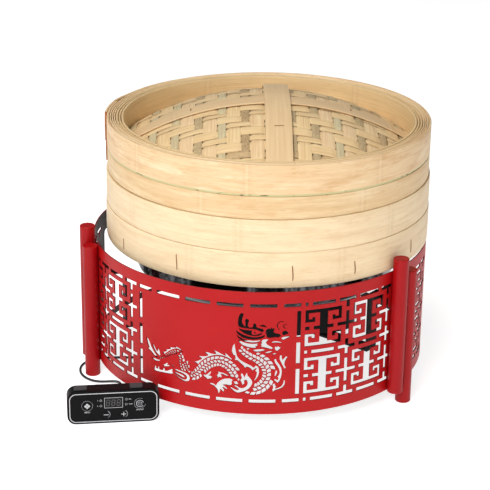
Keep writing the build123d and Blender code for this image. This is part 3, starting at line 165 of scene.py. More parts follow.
def bamboo(name, pale, tan, warm, edge=None, node=True, rough=0.5, streak=1.0, stain=0.0):
    """Split bamboo. uvw is (along the grain, across it, seed) in mm, nd the distance to the nearest joint of the cane, tone a shade for the whole strip."""
    g = Mat(name, Specular_IOR_Level=0.5)
    p = g.vec("uvw")
    fine = g.noise(g.stretch(p, (0.035, 2.6, 1.0)), 1.0, 4.0, 0.6)
    mid = g.noise(g.stretch(p, (0.010, 0.42, 1.3)), 1.0, 3.0, 0.6)
    broad = g.noise(g.stretch(p, (0.012, 0.035, 1.7)), 1.0, 3.0, 0.6)
    tone = g.fac("tone")
    a = g.math("ADD", g.math("MULTIPLY", mid, 0.55), g.math("MULTIPLY", fine, 0.45 * streak))
    base = g.ramp(g.map(a, 0.30, 0.72), [(0.0, tan), (0.45, [x * 0.5 + y * 0.5 for x, y in zip(tan, pale)]), (1.0, pale)])
    base = g.mix(g.map(broad, 0.46, 0.78, 0.0, 0.55), base, warm)
    base = g.mix(g.map(tone, 0.0, 1.0, 0.0, 0.75), base, warm, "MULTIPLY")
    if stain > 0.0:
        # handling stains: long soft blotches along the grain, broken up by smaller ones
        st = g.noise(g.stretch(p, (0.022, 0.10, 2.3)), 1.0, 4.0, 0.65)
        base = g.mix(g.map(st, 0.50, 0.66, 0.0, stain), base, srgb(204, 152, 96))
        sb = g.noise(g.stretch(p, (0.05, 0.30, 2.9)), 1.0, 3.0, 0.6)
        base = g.mix(g.map(sb, 0.60, 0.72, 0.0, stain * 0.8), base, srgb(190, 134, 78))
        lt = g.noise(g.stretch(p, (0.016, 0.08, 3.7)), 1.0, 3.0, 0.6)
        base = g.mix(g.map(lt, 0.54, 0.68, 0.0, stain), base, srgb(250, 232, 196))
    # short brown fibres and specks
    fl = g.noise(g.stretch(p, (0.09, 1.7, 2.0)), 1.0, 2.0, 0.5)
    base = g.mix(g.map(fl, 0.67, 0.78, 0.0, 0.55 * streak), base, srgb(170, 120, 70))
    h = g.math("ADD", g.math("MULTIPLY", fine, 0.7), g.math("MULTIPLY", mid, 0.6))
    if node:
        nd = g.math("ADD", g.fac("nd"), g.map(g.noise(g.stretch(p, (0.0, 0.9, 1.0)), 1.0, 3.0, 0.7), 0.0, 1.0, -2.2, 2.2))
        ad = g.math("ABSOLUTE", nd)
        ridge = g.map(ad, 0.0, 2.6, 1.0, 0.0, "SMOOTHSTEP")
        side = g.map(ad, 1.5, 9.0, 1.0, 0.0, "SMOOTHSTEP")
        base = g.mix(g.math("MULTIPLY", side, 0.10), base, srgb(196, 150, 100))
        base = g.mix(g.math("MULTIPLY", ridge, 0.22), base, srgb(250, 232, 190))
        sp = g.noise(g.stretch(p, (0.8, 1.1, 3.0)), 1.0, 2.0, 0.5)
        base = g.mix(g.math("MULTIPLY", g.map(sp, 0.60, 0.68), g.math("MULTIPLY", side, 0.4)), base, srgb(176, 128, 80))
        h = g.math("ADD", h, g.math("MULTIPLY", ridge, 0.6))
    if edge is not None:
        # the rough green lower edge of a band: uvw.y is the height above that edge
        sep = g.add("ShaderNodeSeparateXYZ", {0: p})
        n1 = g.noise(g.stretch(p, (0.35, 0.6, 1.0)), 1.0, 4.0, 0.7)
        e = g.math("ADD", sep.outputs[1], g.map(n1, 0.0, 1.0, -1.3, 1.3))
        m = g.map(e, 1.9, 2.9, 1.0, 0.0, "SMOOTHSTEP")
        base = g.mix(g.math("MULTIPLY", m, 0.8), base, edge)
        chips = g.noise(g.stretch(p, (0.055, 0.3, 1.0)), 1.0, 2.0, 0.5)
        chip = g.math("MULTIPLY", g.map(e, 1.5, 2.1, 1.0, 0.0, "SMOOTHSTEP"), g.map(chips, 0.60, 0.64))
        base = g.mix(chip, base, srgb(70, 48, 30))
        h = g.math("ADD", h, g.math("MULTIPLY", m, -1.2))
    r = g.map(mid, 0.2, 0.8, rough + 0.08, rough - 0.06)
    return g.out(base, r, h, 0.35, 0.0006)


PALE_L, TAN_L, WARM_L = srgb(240, 211, 168), srgb(218, 180, 130), srgb(222, 182, 138)
PALE_B, TAN_B, WARM_B = srgb(244, 221, 184), srgb(228, 198, 152), srgb(230, 198, 156)
bam_lid = bamboo("bamboo_lid_outer", PALE_L, TAN_L, WARM_L, edge=srgb(186, 184, 130), stain=0.42)
bam_lid_low = bamboo("bamboo_lid_lower", srgb(236, 208, 162), srgb(212, 176, 126), srgb(220, 182, 136), stain=0.36)
bam_basket = bamboo("bamboo_basket_outer", PALE_B, TAN_B, WARM_B, stain=0.22)
bam_inner = bamboo("bamboo_inner_wall", srgb(240, 214, 166), srgb(216, 182, 130), srgb(216, 180, 130), rough=0.45)
bam_rim = bamboo("bamboo_rim_layer", srgb(250, 230, 190), srgb(228, 194, 146), srgb(234, 202, 158), node=False)
bam_strap = bamboo("bamboo_strap_face", srgb(240, 212, 166), srgb(220, 182, 134), srgb(224, 188, 142), rough=0.42)
bam_lath = bamboo("bamboo_lath", srgb(240, 216, 164), srgb(214, 178, 122), srgb(222, 186, 136))


def end_grain():
    g = Mat("bamboo_cut_end", Specular_IOR_Level=0.25)
    n = g.noise(g.stretch(g.obj(), (900, 900, 260)), 1.0, 4.0, 0.7)
    return g.out(g.ramp(n, [(0.3, srgb(120, 66, 34)), (0.7, srgb(186, 124, 78))]), 0.7, n, 0.3, 0.0006)


cut_end = end_grain()


def weave_material():
    g = Mat("bamboo_woven_strip", Specular_IOR_Level=0.32)
    p = g.vec("uvw")
    tone, green, mott = g.fac("tone"), g.fac("green"), g.fac("mott")
    fine = g.noise(g.stretch(p, (0.03, 2.2, 1.0)), 1.0, 4.0, 0.6)
    mid = g.noise(g.stretch(p, (0.012, 0.55, 1.3)), 1.0, 3.0, 0.6)
    a = g.map(g.math("ADD", g.math("MULTIPLY", mid, 0.6), g.math("MULTIPLY", fine, 0.4)), 0.28, 0.72)
    wide = g.ramp(a, [(0.0, srgb(212, 170, 130)), (0.5, srgb(232, 200, 156)), (1.0, srgb(247, 226, 182))])
    warm = g.ramp(a, [(0.0, srgb(208, 170, 118)), (0.5, srgb(232, 200, 148)), (1.0, srgb(247, 226, 176))])
    wide = g.mix(tone, wide, warm)
    leafy = g.ramp(a, [(0.0, srgb(180, 158, 120)), (0.5, srgb(206, 190, 150)), (1.0, srgb(224, 212, 174))])
    base = g.mix(green, wide, leafy)
    dots = g.noise(g.stretch(p, (0.22, 1.5, 2.0)), 1.0, 3.0, 0.65)
    dark = g.mix(g.map(dots, 0.42, 0.60), srgb(140, 106, 74), srgb(204, 176, 128))
    base = g.mix(mott, base, dark)
    sp = g.noise(g.stretch(p, (0.10, 1.3, 3.0)), 1.0, 2.0, 0.5)
    base = g.mix(g.map(sp, 0.68, 0.78, 0.0, 0.5), base, srgb(166, 112, 72))
    # painted shade: the woven strips darken to brown along their edges, most where they dip under a neighbour
    dip_shade = g.math("ADD", g.fac("nd"), g.map(g.noise(g.stretch(p, (0.25, 0.8, 1.0)), 1.0, 2.0, 0.6), 0.3, 0.7, -0.12, 0.12))
    base = g.mix(g.map(dip_shade, 0.62, 1.0, 0.0, 0.62), base, srgb(120, 82, 50))
    h = g.math("ADD", g.math("MULTIPLY", fine, 0.8), g.math("MULTIPLY", mid, 0.6))
    return g.out(base, g.map(mid, 0.2, 0.8, 0.52, 0.42), h, 0.4, 0.0006)


weave_mat = weave_material()


def liner_material():
    g = Mat("lid_leaf_liner", Specular_IOR_Level=0.2)
    n = g.noise(g.stretch(g.obj(), (60, 400, 60)), 1.0, 4.0, 0.6)
    return g.out(g.ramp(n, [(0.3, srgb(70, 44, 26)), (0.7, srgb(122, 84, 50))]), 0.75, n, 0.4, 0.001)


def thread_material():
    g = Mat("bamboo_thread", Specular_IOR_Level=0.3)
    n = g.noise(g.stretch(g.obj(), (2500, 2500, 700)), 1.0, 3.0, 0.6)
    return g.out(g.ramp(n, [(0.3, srgb(104, 58, 26)), (0.7, srgb(168, 104, 58))]), 0.55, n, 0.4, 0.0004)


def powder(name, color, dark, rough=0.42, peel=0.14, spec=0.2):
    """Powder coat: orange peel at about 1.2 mm, and a faint speckle."""
    g = Mat(name, Specular_IOR_Level=spec)
    o = g.obj()
    peel_n = g.noise(o, 750.0, 2.0, 0.5)
    speck = g.noise(o, 2600.0, 2.0, 0.6)
    broad = g.noise(o, 22.0, 2.0, 0.5)
    c = g.mix(g.map(speck, 0.35, 0.75, 0.0, 0.25), color, dark)
    c = g.mix(g.map(broad, 0.3, 0.7, 0.0, 0.18), c, dark)
    h = g.math("ADD", peel_n, g.math("MULTIPLY", speck, 0.3))
    return g.out(c, g.map(broad, 0.3, 0.7, rough - 0.03, rough + 0.05), h, peel, 0.0006)


red = powder("red_powder_coat", srgb(180, 14, 18), srgb(158, 9, 14))
red_tube = powder("red_tube_coat", srgb(164, 8, 15), srgb(138, 5, 10))
# the walls of the cut-outs take a darker red, painted shade round the holes
red_cut_wall_shaded = powder("red_cut_wall_painted_shade", srgb(120, 16, 22), srgb(84, 10, 14), 0.5)
# the inner faces of the panels are a near-black brown
inner_dark = powder("panel_inner_near_black", srgb(44, 22, 20), srgb(26, 12, 12), 0.5)
black_coat = powder("black_coat", srgb(26, 26, 27), srgb(14, 14, 15), 0.4)


def plastic(name, color, rough=0.5, grain=900.0, strength=0.2, spec=0.5, coat=0.0):
    g = Mat(name, Specular_IOR_Level=spec, Coat_Weight=coat, Coat_Roughness=0.06)
    o = g.obj()
    n = g.noise(o, grain, 3.0, 0.6)
    b = g.noise(o, 30.0, 2.0, 0.5)
    c = g.mix(g.map(b, 0.3, 0.7), color, tuple(x * 0.82 for x in color))
    return g.out(c, g.map(b, 0.3, 0.7, rough - 0.04, rough + 0.06), n, strength, 0.0003)


black_plastic = plastic("black_moulded_plastic", srgb(18, 18, 19), 0.5, spec=0.22)
fan_plastic = plastic("fan_plastic", srgb(24, 24, 25), 0.55)
front_gloss = plastic("controller_face", srgb(9, 9, 10), 0.42, 1400.0, 0.06, 0.10)
window_gloss = plastic("display_glass", srgb(10, 10, 11), 0.30, 300.0, 0.02, 0.2)
glass_black = plastic("black_glass", srgb(10, 10, 11), 0.07, 200.0, 0.02, 0.5)
rubber = plastic("black_rubber", srgb(24, 24, 24), 0.68, 1600.0, 0.3, 0.3)
lead_mat = plastic("lead_jacket", srgb(38, 39, 40), 0.46, 1500.0, 0.15, 0.45)
grey_pad = plastic("grey_pad", srgb(74, 75, 76), 0.6, 1500.0, 0.25, 0.3)
mica_mat = plastic("mica_board", srgb(196, 182, 150), 0.6)
board_mat = plastic("solder_mask", srgb(24, 84, 48), 0.35, 500.0, 0.1, 0.5)
comp_mat = plastic("component_body", srgb(34, 34, 38), 0.4)
ferrite_mat = plastic("ferrite", srgb(52, 52, 54), 0.65, 700.0, 0.4, 0.3)
print_mat = plastic("silk_print", srgb(196, 197, 200), 0.5, 900.0, 0.05, 0.4)
segment_mat = plastic("unlit_segment", srgb(92, 92, 94), 0.45, 900.0, 0.05, 0.4)
lamp_mat = plastic("lamp_lens", srgb(70, 70, 72), 0.3, 900.0, 0.05, 0.5)
red_lens = plastic("display_case", srgb(60, 14, 12), 0.3, 900.0, 0.05, 0.5)


def metal(name, color, rough, stretch=(300, 300, 900), strength=0.12, aniso=0.0):
    g = Mat(name, Metallic=1.0, Anisotropic=aniso)
    o = g.obj()
    n = g.noise(g.stretch(o, stretch), 1.0, 3.0, 0.6)
    b = g.noise(o, 25.0, 2.0, 0.5)
    c = g.mix(g.map(b, 0.3, 0.7), color, tuple(x * 0.9 for x in color))
    return g.out(c, g.map(n, 0.2, 0.8, rough * 0.8, rough * 1.25), n, strength, 0.0002)


steel = metal("polished_stainless", srgb(212, 212, 214), 0.14, (40, 40, 1500), 0.08)
# a darker copy of the polished stainless, painted shade on the pan's bottom and outer wall
pan_wall_shaded_steel = metal("pan_wall_painted_shade", srgb(92, 92, 95), 0.16, (40, 40, 1500), 0.08)
zinc = metal("zinc_plate", srgb(190, 190, 194), 0.35)
silver = metal("silver_trim", srgb(196, 197, 200), 0.28)
alu = metal("aluminium", srgb(205, 206, 208), 0.32)
copper = metal("coil_wire", srgb(190, 112, 66), 0.35, (200, 200, 2500), 0.4)

DRESS = {
    "low_posts": red_tube, "raised_posts": red_tube, "post_caps": red_tube, "post_rivets": zinc,
    "support_arm_right": black_coat, "support_arm_left": black_coat, "support_arm_rear": black_coat,
    "support_hub": black_coat, "hub_screws": zinc, "link_screws": black_coat,
    "unit_base": black_plastic, "unit_glass_top": glass_black, "coil_carrier": mica_mat, "induction_coil": copper,
    "ferrite_bars": ferrite_mat, "temperature_sensor": alu, "main_board": board_mat, "heat_sink": alu,
    "board_parts": comp_mat, "fan_frame": fan_plastic, "fan_rotor": fan_plastic, "mains_gland": black_plastic,
    "unit_feet": rubber, "unit_gland": black_plastic,
    "controller_back_shell": black_plastic, "controller_front": front_gloss, "controller_trim": silver,
    "display_window": window_gloss, "digit_display": red_lens, "indicator_leds": lamp_mat,
    "controller_board": board_mat, "button_switches": comp_mat, "controller_pads": grey_pad,
    "controller_screws": zinc, "controller_boot": rubber,
    "menu_button": front_gloss, "power_button": front_gloss, "minus_button": front_gloss, "plus_button": front_gloss,
}
for name, mat in DRESS.items():
    me = NODES[name].data
    me.materials.clear()
    me.materials.append(mat)
for name, width in (("unit_base", 1.2), ("support_arm_right", 0.5), ("support_arm_left", 0.5), ("support_arm_rear", 0.5),
                    ("support_hub", 0.5)):
    mod = NODES[name].modifiers.new("soft_edges", "BEVEL")
    mod.width = width * MM
    mod.segments = 2
    mod.limit_method = "ANGLE"
    mod.angle_limit = rad(40)


# ================================================================ mesh helpers
class Build:
    """Collects closed strips and solids into one mesh with the attributes that the bamboo materials read."""

    def __init__(self):
        self.v, self.f, self.mi = [], [], []
        self.uvw, self.tone, self.nd, self.green, self.mott = [], [], [], [], []

    def point(self, p, uvw=(0, 0, 0), tone=0.0, nd=60.0, green=0.0, mott=0.0):
        self.v.append((p[0] * MM, p[1] * MM, p[2] * MM))
        self.uvw.append(uvw)
        self.tone.append(tone)
        self.nd.append(nd)
        self.green.append(green)
        self.mott.append(mott)
        return len(self.v) - 1

    def face(self, ids, mi=0):
        self.f.append(ids)
        self.mi.append(mi)

    def sweep(self, rings, mi=0, cap=0, closed=False):
        """rings of the same number of point ids, each a closed loop, joined one to the next, with the ends capped."""
        k = len(rings[0])
        m = len(rings)
        for i in range(m if closed else m - 1):
            a, b = rings[i], rings[(i + 1) % m]
            for j in range(k):
                self.face((a[j], a[(j + 1) % k], b[(j + 1) % k], b[j]), mi)
        if not closed:
            self.face(tuple(reversed(rings[0])), cap)
            self.face(tuple(rings[-1]), cap)

    def make(self, name, mats, body, slot, replaces=(), angle=38.0):
        me = bpy.data.meshes.new(name)
        me.from_pydata(self.v, [], self.f)
        me.update()
        for m in mats:
            me.materials.append(m)
        me.polygons.foreach_set("material_index", self.mi)
        me.polygons.foreach_set("use_smooth", [True] * len(self.f))
        bm = bmesh.new()
        bm.from_mesh(me)
        bmesh.ops.recalc_face_normals(bm, faces=bm.faces)
        bm.to_mesh(me)
        bm.free()
        me.set_sharp_from_angle(angle=rad(angle))
        for key, kind, vals in (("uvw", "FLOAT_VECTOR", [c for t in self.uvw for c in t]), ("tone", "FLOAT", self.tone),
                                ("nd", "FLOAT", self.nd), ("green", "FLOAT", self.green), ("mott", "FLOAT", self.mott)):
            a = me.attributes.new(key, kind, "POINT")
            a.data.foreach_set("vector" if kind == "FLOAT_VECTOR" else "value", vals)
        ob = bpy.data.objects.new(name, me)
        bpy.context.scene.collection.objects.link(ob)
        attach(ob, body)
        if replaces:
            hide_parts(*replaces)
        return ob


def waver(seed, amp, lo=1, hi=7):
    """A smooth periodic wobble of the angle."""
    rnd = random.Random(seed)
    terms = [(k, rnd.uniform(0.4, 1.0) / k ** 0.6, rnd.uniform(0, 6.283)) for k in range(lo, hi)]
    s = sum(t[1] for t in terms)
    return lambda a: amp * sum(w * math.sin(k * a + ph) for k, w, ph in terms) / s * 2.0


def rounded(r0, r1, z0, z1, c, n=3, mids=4):
    """A rounded box profile in (r, z), counter-clockwise from the lower outer corner upwards."""
    pts = []
    for cx, cz, a0 in ((r1 - c, z0 + c, -90), (r1 - c, z1 - c, 0), (r0 + c, z1 - c, 90), (r0 + c, z0 + c, 180)):
        for i in range(n + 1):
            a = rad(a0 + 90 * i / n)
            pts.append((cx + c * math.cos(a), cz + c * math.sin(a)))
        if a0 in (-90, 90):
            x = r1 if a0 == -90 else r0
            for i in range(1, mids + 1):
                t = i / (mids + 1)
                zz = (z0 + c) + (z1 - z0 - 2 * c) * (t if a0 == -90 else 1 - t)
                pts.append((x, zz))
    return pts


def hoop(b, r0, r1, z0, z1, start, seed, nodes=(), lap=0.0, proud=0.0, corner=0.7, n=300, top=0.25, low=0.2,
         side=0.15, tone=0.0, belly=0.0, lift=None, cap=1, mi=0):
    """A strip bent into a ring round the steamer's axis, open at start, with one end lapping over the other if lap is set."""
    wt, wl, ws = waver(seed, top), waver(seed + 1, low), waver(seed + 2, side)
    prof = rounded(r0, r1, z0, z1, corner)
    total = 360.0 + lap if lap else 360.0 - 0.12
    rm = (r0 + r1) / 2
    rings = []
    for i in range(n + 1):
        deg = start + total * i / n
        a = rad(deg)
        off = 0.0
        if lap:
            t = (deg - (start + 360.0 - 14.0)) / 14.0
            t = min(1.0, max(0.0, t))
            off = proud * t * t * (3 - 2 * t)
        sh = ws(a) + off
        dz1 = wt(a)
        dz0 = wl(a) + (lift(deg) if lift else 0.0)
        u = rad(total * i / n) * rm
        best = 60.0
        for x in nodes:
            d = (deg - x + 180.0) % 360.0 - 180.0
            d = d * rad(1) * rm
            if abs(d) < abs(best):
                best = d
        ring = []
        for r, z in prof:
            t = (z - z0) / (z1 - z0)
            bl = belly * 4 * t * (1 - t) if r > rm else 0.0
            zz = z + dz0 * (1 - t) + dz1 * t
            rr = r + sh + bl
            ring.append(b.point((BX + rr * math.cos(a), BY + rr * math.sin(a), zz),
                                (u, z - z0 + max(0.0, r1 - r), seed * 3.17), tone, best))
        rings.append(ring)
    b.sweep(rings, mi, cap)


# ================================================================ camera
right = Vector((0.97832, 0.20667, 0.01372))
up = Vector((-0.08742, 0.35198, 0.93192))
fwd = Vector((-0.18777, 0.91291, -0.36242))
cam_data = bpy.data.cameras.new("camera")
cam = bpy.data.objects.new("camera", cam_data)
bpy.context.scene.collection.objects.link(cam)
rot = Matrix((right, up, -fwd)).transposed()
cam.matrix_world = Matrix.Translation((0.36883, -1.88700 + DY * MM, 0.90062)) @ rot.to_4x4()
cam_data.sensor_width = 36.0
cam_data.lens = 118.37
cam_data.clip_start, cam_data.clip_end = 0.05, 100.0
bpy.context.scene.camera = cam

# ================================================================ controller lead
ROUTE = [(-128.704, -196.637, 22), (-132.877, -184.854, 22), (-137, -171, 21.4), (-144.6, -157, 17.4),
         (-156.6, -146.6, 11.6), (-171.6, -140.4, 6.2), (-187.4, -132, 2.2), (-202.5, -120.8, 1.6), (-211.6, -104.6, 1.6),
         (-213, -85.8, 1.6), (-204.2, -69.6, 1.6), (-187, -60.6, 1.6), (-164, -55.2, 1.6), (-134, -46.6, 1.6),
         (-110, -38, 1.6), (-93.6, -29.6, 6.6), (-86.4, -23.4, 18), (-83.278, -19.957, 34), (-83.278, -19.957, 54)]
curve = bpy.data.curves.new("lead_curve", "CURVE")
curve.dimensions = "3D"
sp = curve.splines.new("NURBS")
sp.points.add(len(ROUTE) - 1)
for q, (x, y, z) in zip(sp.points, ROUTE):
    q.co = (x * MM, (y + DY) * MM, z * MM, 1.0)
sp.order_u = 3
sp.use_endpoint_u = True
sp.resolution_u = 14
curve.bevel_depth = 1.6 * MM
curve.bevel_resolution = 5
curve.use_fill_caps = True
lead = bpy.data.objects.new("lead", curve)
bpy.context.scene.collection.objects.link(lead)
curve.materials.append(lead_mat)
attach(lead, "stand")
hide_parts("controller_lead")

# ================================================================ basket and lid hoops
b = Build()
hoop(b, 199.6, 202.4, Z_SEAM_B + 0.25, Z_SEAM - 0.15, 62.0, 11, (-131.5, -88.5, -33.0, 20.0, 140.0), lap=12.0, proud=2.2, belly=0.25)
b.make("basket_upper_strip", [bam_basket, cut_end], "basket", "bamboo_basket", ["basket_upper_band"])
b = Build()
hoop(b, 199.6, 203.0, Z_BASKET, Z_SEAM_B - 0.2, 118.0, 21, (-105.5, -53.5, 5.0, 100.0, 170.0), lap=12.0, proud=2.2, belly=0.3, top=0.3, low=0.15)
b.make("basket_lower_strip", [bam_basket, cut_end], "basket", "bamboo_basket", ["basket_lower_band"])
b = Build()
for i, (r0, r1, z1) in enumerate(((196.6, 199.2, Z_SEAM - 0.5), (193.7, 196.3, Z_SEAM - 0.3), (190.8, 193.4, Z_SEAM - 0.6))):
    hoop(b, r0, r1, Z_BASKET + 0.3, z1, 100.0 + 70 * i, 31 + 3 * i, (40.0 + 90 * i, 200.0 + 40 * i), side=0.1, n=220, low=0.05)
b.make("basket_middle_strips", [bam_rim, cut_end], "basket", "bamboo_basket", ["basket_middle_hoop"])
b = Build()
hoop(b, 187.0, 190.1, Z_BASKET + 14.4, Z_SEAM + 10.4, 10.0, 41, (60.0, 170.0, 280.0), side=0.08, n=220)
hoop(b, R_IN, 186.6, Z_BASKET + 14.0, Z_SEAM + 10.8, 130.0, 44, (20.0, 110.0, 235.0), side=0.0, n=260)
b.make("basket_inner_strips", [bam_inner, cut_end], "basket", "bamboo_basket", ["basket_inner_hoop"])


def left_gap(deg):
    # the lid stands a little proud of the basket at its left side
    d = (deg + 148.0 + 180.0) % 360.0 - 180.0
    return 1.1 * math.exp(-(d / 26.0) ** 2)


b = Build()
hoop(b, 198.2, R_LID, Z_SEAM_L + 0.15, Z_LID, 177.0, 51, (-129.0, -86.0, -39.0, 60.0, 118.0), lap=14.0, proud=3.4, belly=0.25, top=0.3, low=0.3)
b.make("lid_upper_strip", [bam_lid, cut_end], "lid", "bamboo_lid", ["lid_upper_band"])
b = Build()
hoop(b, 198.2, 200.8, Z_SEAM + 0.35, Z_SEAM_L - 0.35, 176.0, 61, (-101.5, -46.0, 10.0, 90.0), lap=14.0, proud=3.2, belly=0.2, top=0.2, low=0.2, lift=left_gap)
b.make("lid_lower_strip", [bam_lid_low, cut_end], "lid", "bamboo_raw", ["lid_lower_band"])
b = Build()
for i, (r0, r1, z1, st) in enumerate(((195.8, 197.3, Z_LID - 0.3, 30.0), (193.3, 194.8, Z_LID - 0.8, 160.0), (190.8, 192.3, Z_LID - 0.2, 290.0))):
    hoop(b, r0, r1, Z_SEAM + 0.7, z1, st, 71 + 3 * i, (), side=0.12, n=260, tone=0.1 + 0.15 * (i % 2), low=0.1, corner=0.6)
b.make("lid_rim_strips", [bam_rim, cut_end], "lid", "bamboo_lid", ["lid_middle_hoop"])
b = Build()
hoop(b, 187.4, 189.8, Z_SEAM + 13.0, Z_LID - 0.8, 80.0, 81, (), side=0.10, n=260, tone=0.1)
hoop(b, 184.1, 186.4, Z_SEAM + 13.0, Z_LID - 1.3, 20.0, 83, (), side=0.06, n=260, tone=0.2)
hoop(b, R_IN_L, 183.1, Z_SEAM + 12.5, Z_LID - 1.0, 255.0, 84, (128.0, 62.0, -20.0, 190.0), side=0.0, n=300)
b.make("lid_inner_strips", [bam_inner, cut_end], "lid", "bamboo_lid", ["lid_inner_hoop"])

# ================================================================ basket floor
BD = rad(STRAP_AZ)


def lath(b, cx, cy, cz, az, length, width, thick, seed, tone=0.0, mi=0):
    """A lath with rounded long edges, a flat top and its ends cut square."""
    c, s = math.cos(az), math.sin(az)
    prof = []
    cr = min(1.2, thick * 0.3)
    for px, pz, a0 in ((width / 2 - cr, -thick / 2 + cr, -90), (width / 2 - cr, thick / 2 - cr, 0),
                       (-width / 2 + cr, thick / 2 - cr, 90), (-width / 2 + cr, -thick / 2 + cr, 180)):
        for i in range(4):
            a = rad(a0 + 30 * i)
            prof.append((px + cr * math.cos(a), pz + cr * math.sin(a)))
        if a0 == 0:
            prof += [(width * 0.25, thick / 2 + 0.0), (0.0, thick / 2 + 0.0), (-width * 0.25, thick / 2 + 0.0)]
    w = waver(seed, 0.25)
    rings = []
    m = 16
    for i in range(m + 1):
        u = -length / 2 + length * i / m
        d = w(i / m * 3.0)
        rings.append([b.point((cx + u * c - (v + d) * s, cy + u * s + (v + d) * c, cz + z),
                              (u, v + (thick if z < 0 else 0), seed * 2.3), tone, 60.0) for v, z in prof])
    b.sweep(rings, mi, 1)


b = Build()
for k, off in enumerate((-95.0, 0.0, 95.0)):
    half = math.sqrt(189.5 ** 2 - (abs(off) + 9.0) ** 2)
    lath(b, BX - off * math.sin(BD), BY + off * math.cos(BD), Z_BASKET + 4.0, BD, 2 * half, 18.0, 8.0, 100 + k, 0.3)
b.make("basket_bearer_laths", [bam_lath, cut_end], "basket", "bamboo_raw", ["basket_bearers"])
b = Build()
for i in range(14):
    off = (i - 6.5) * 26.2
    half = math.sqrt(max(10.0, 188.0 ** 2 - (abs(off) + 10.5) ** 2))
    lath(b, BX + off * math.cos(BD), BY + off * math.sin(BD), Z_BASKET + 10.8, BD + math.pi / 2, 2 * half, 21.0, 5.6,
         120 + i, random.Random(i).uniform(0, 0.5))
b.make("basket_slat_laths", [bam_lath, cut_end], "basket", "bamboo_raw", ["basket_slats"])

# ================================================================ woven dome
RISE = Z_APEX - 3.5 - Z_EDGE
RE = R_IN_L - 0.5
RS = (R_IN_L * R_IN_L + RISE * RISE) / (2 * RISE)
WC, WS = math.cos(rad(STRAP_AZ - 90.0)), math.sin(rad(STRAP_AZ - 90.0))
W_WIDE, W_NARROW = 16.3, 9.3
HALF = (14.0, 14.6)             # half a period of the columns and of the rows
START = (-16.2, -61.0)          # middle of a wide column, and of a wide row


def dome_z(r):
    return Z_EDGE + RISE - RS + math.sqrt(max(1.0, RS * RS - r * r))


def across_over(i, j):
    # 2/2 twill: True where the cross-running strip j lies over the front-running strip i
    return (i + j - 1) % 4 in (0, 1)


def weave_height(k, other_pos, other, along):
    """Interpolated height sign of strip k at a place along it."""
    t = (other_pos - START[other]) / HALF[other]
    j = math.floor(t)
    f = t - j
    a, c = along(k, j), along(k, j + 1)
    f = min(1.0, max(0.0, (f - 0.22) / 0.56))
    f = f * f * (3 - 2 * f)
    return a + (c - a) * f


def woven(b, drop, sign, seed, step, thick=0.85, amp=0.5):
    rnd = random.Random(seed)
    for direction in (0, 1):            # 0: strips that run front to back, 1: strips that run across
        for k in range(-18, 19):
            pos = START[direction] + k * HALF[direction]
            wide = k % 2 == 0
            hw = (W_WIDE if wide else W_NARROW) / 2
            jitter = rnd.uniform(-0.35, 0.35)
            tone = rnd.random() * 0.9 if direction == 0 else 0.55 + 0.45 * rnd.random()
            green = 0.0 if wide else rnd.choice((0.9, 1.0, 0.75, 0.5) if direction == 0 else (0.45, 0.2, 0.7, 0.1))
            mott = 0.0 if wide else rnd.choice((0, 0, 0.15, 0, 0, 0.6, 0.1, 0))
            if (direction, k) == (0, -1):
                mott = 0.85
            if abs(pos) - hw > RE - 3:
                continue
            lo_v, hi_v = max(pos - hw + jitter, -RE + 1.5), min(pos + hw + jitter, RE - 1.5)
            if hi_v - lo_v < 2.0:
                continue
            nv = 7 if wide else 5
            vs = [lo_v + (hi_v - lo_v) * i / (nv - 1) for i in range(nv)]
            ext = [math.sqrt(RE * RE - v * v) for v in vs]
            n = max(6, int(2 * max(ext) / step))
            rings = []
            s0 = rnd.uniform(0, 400)
            for i in range(n + 1):
                t = -1 + 2 * i / n
                top, bot, dip_shades = [], [], []
                for v, e in zip(vs, ext):
                    u = t * e
                    x, y = (v, u) if direction == 0 else (u, v)
                    if direction == 0:
                        hgt = weave_height(k, y, 1, lambda kk, jj: -1.0 if across_over(kk, jj) else 1.0)
                    else:
                        hgt = weave_height(k, x, 0, lambda kk, jj: 1.0 if across_over(jj, kk) else -1.0)
                    q = (v - (lo_v + hi_v) / 2) / ((hi_v - lo_v) / 2)
                    crown = (0.42 if hgt > 0 else 0.15) * (1 - q * q) - 0.16
                    z = dome_z(math.hypot(x, y)) - drop + sign * (amp * hgt + crown * 0.8)
                    px, py = BX + x * WC - y * WS, BY + x * WS + y * WC
                    edge = thick / 2 * (0.5 if abs(q) > 0.99 else 1.0)
                    # nd here is painted shade: it darkens a strip's edges, most where the strip dips under its
                    # neighbour
                    dip_shades.append(min(1.0, (1.0 if abs(q) > 0.99 else 0.0) * 0.75 + (0.55 if hgt < -0.2 else (0.30 if hgt < 0.5 else 0.0))))
                    top.append(((px, py, z + edge), (u + s0, v + k * 7.7, seed + k)))
                    bot.append(((px, py, z - edge), (u + s0, v + k * 7.7 + 40, seed + k)))
                ring = [b.point(p, uv, tone, nd, green, mott) for (p, uv), nd in zip(top, dip_shades)]
                ring += [b.point(p, uv, tone, nd, green, mott) for (p, uv), nd in zip(reversed(bot), reversed(dip_shades))]
                rings.append(ring)
            b.sweep(rings, 0, 0)


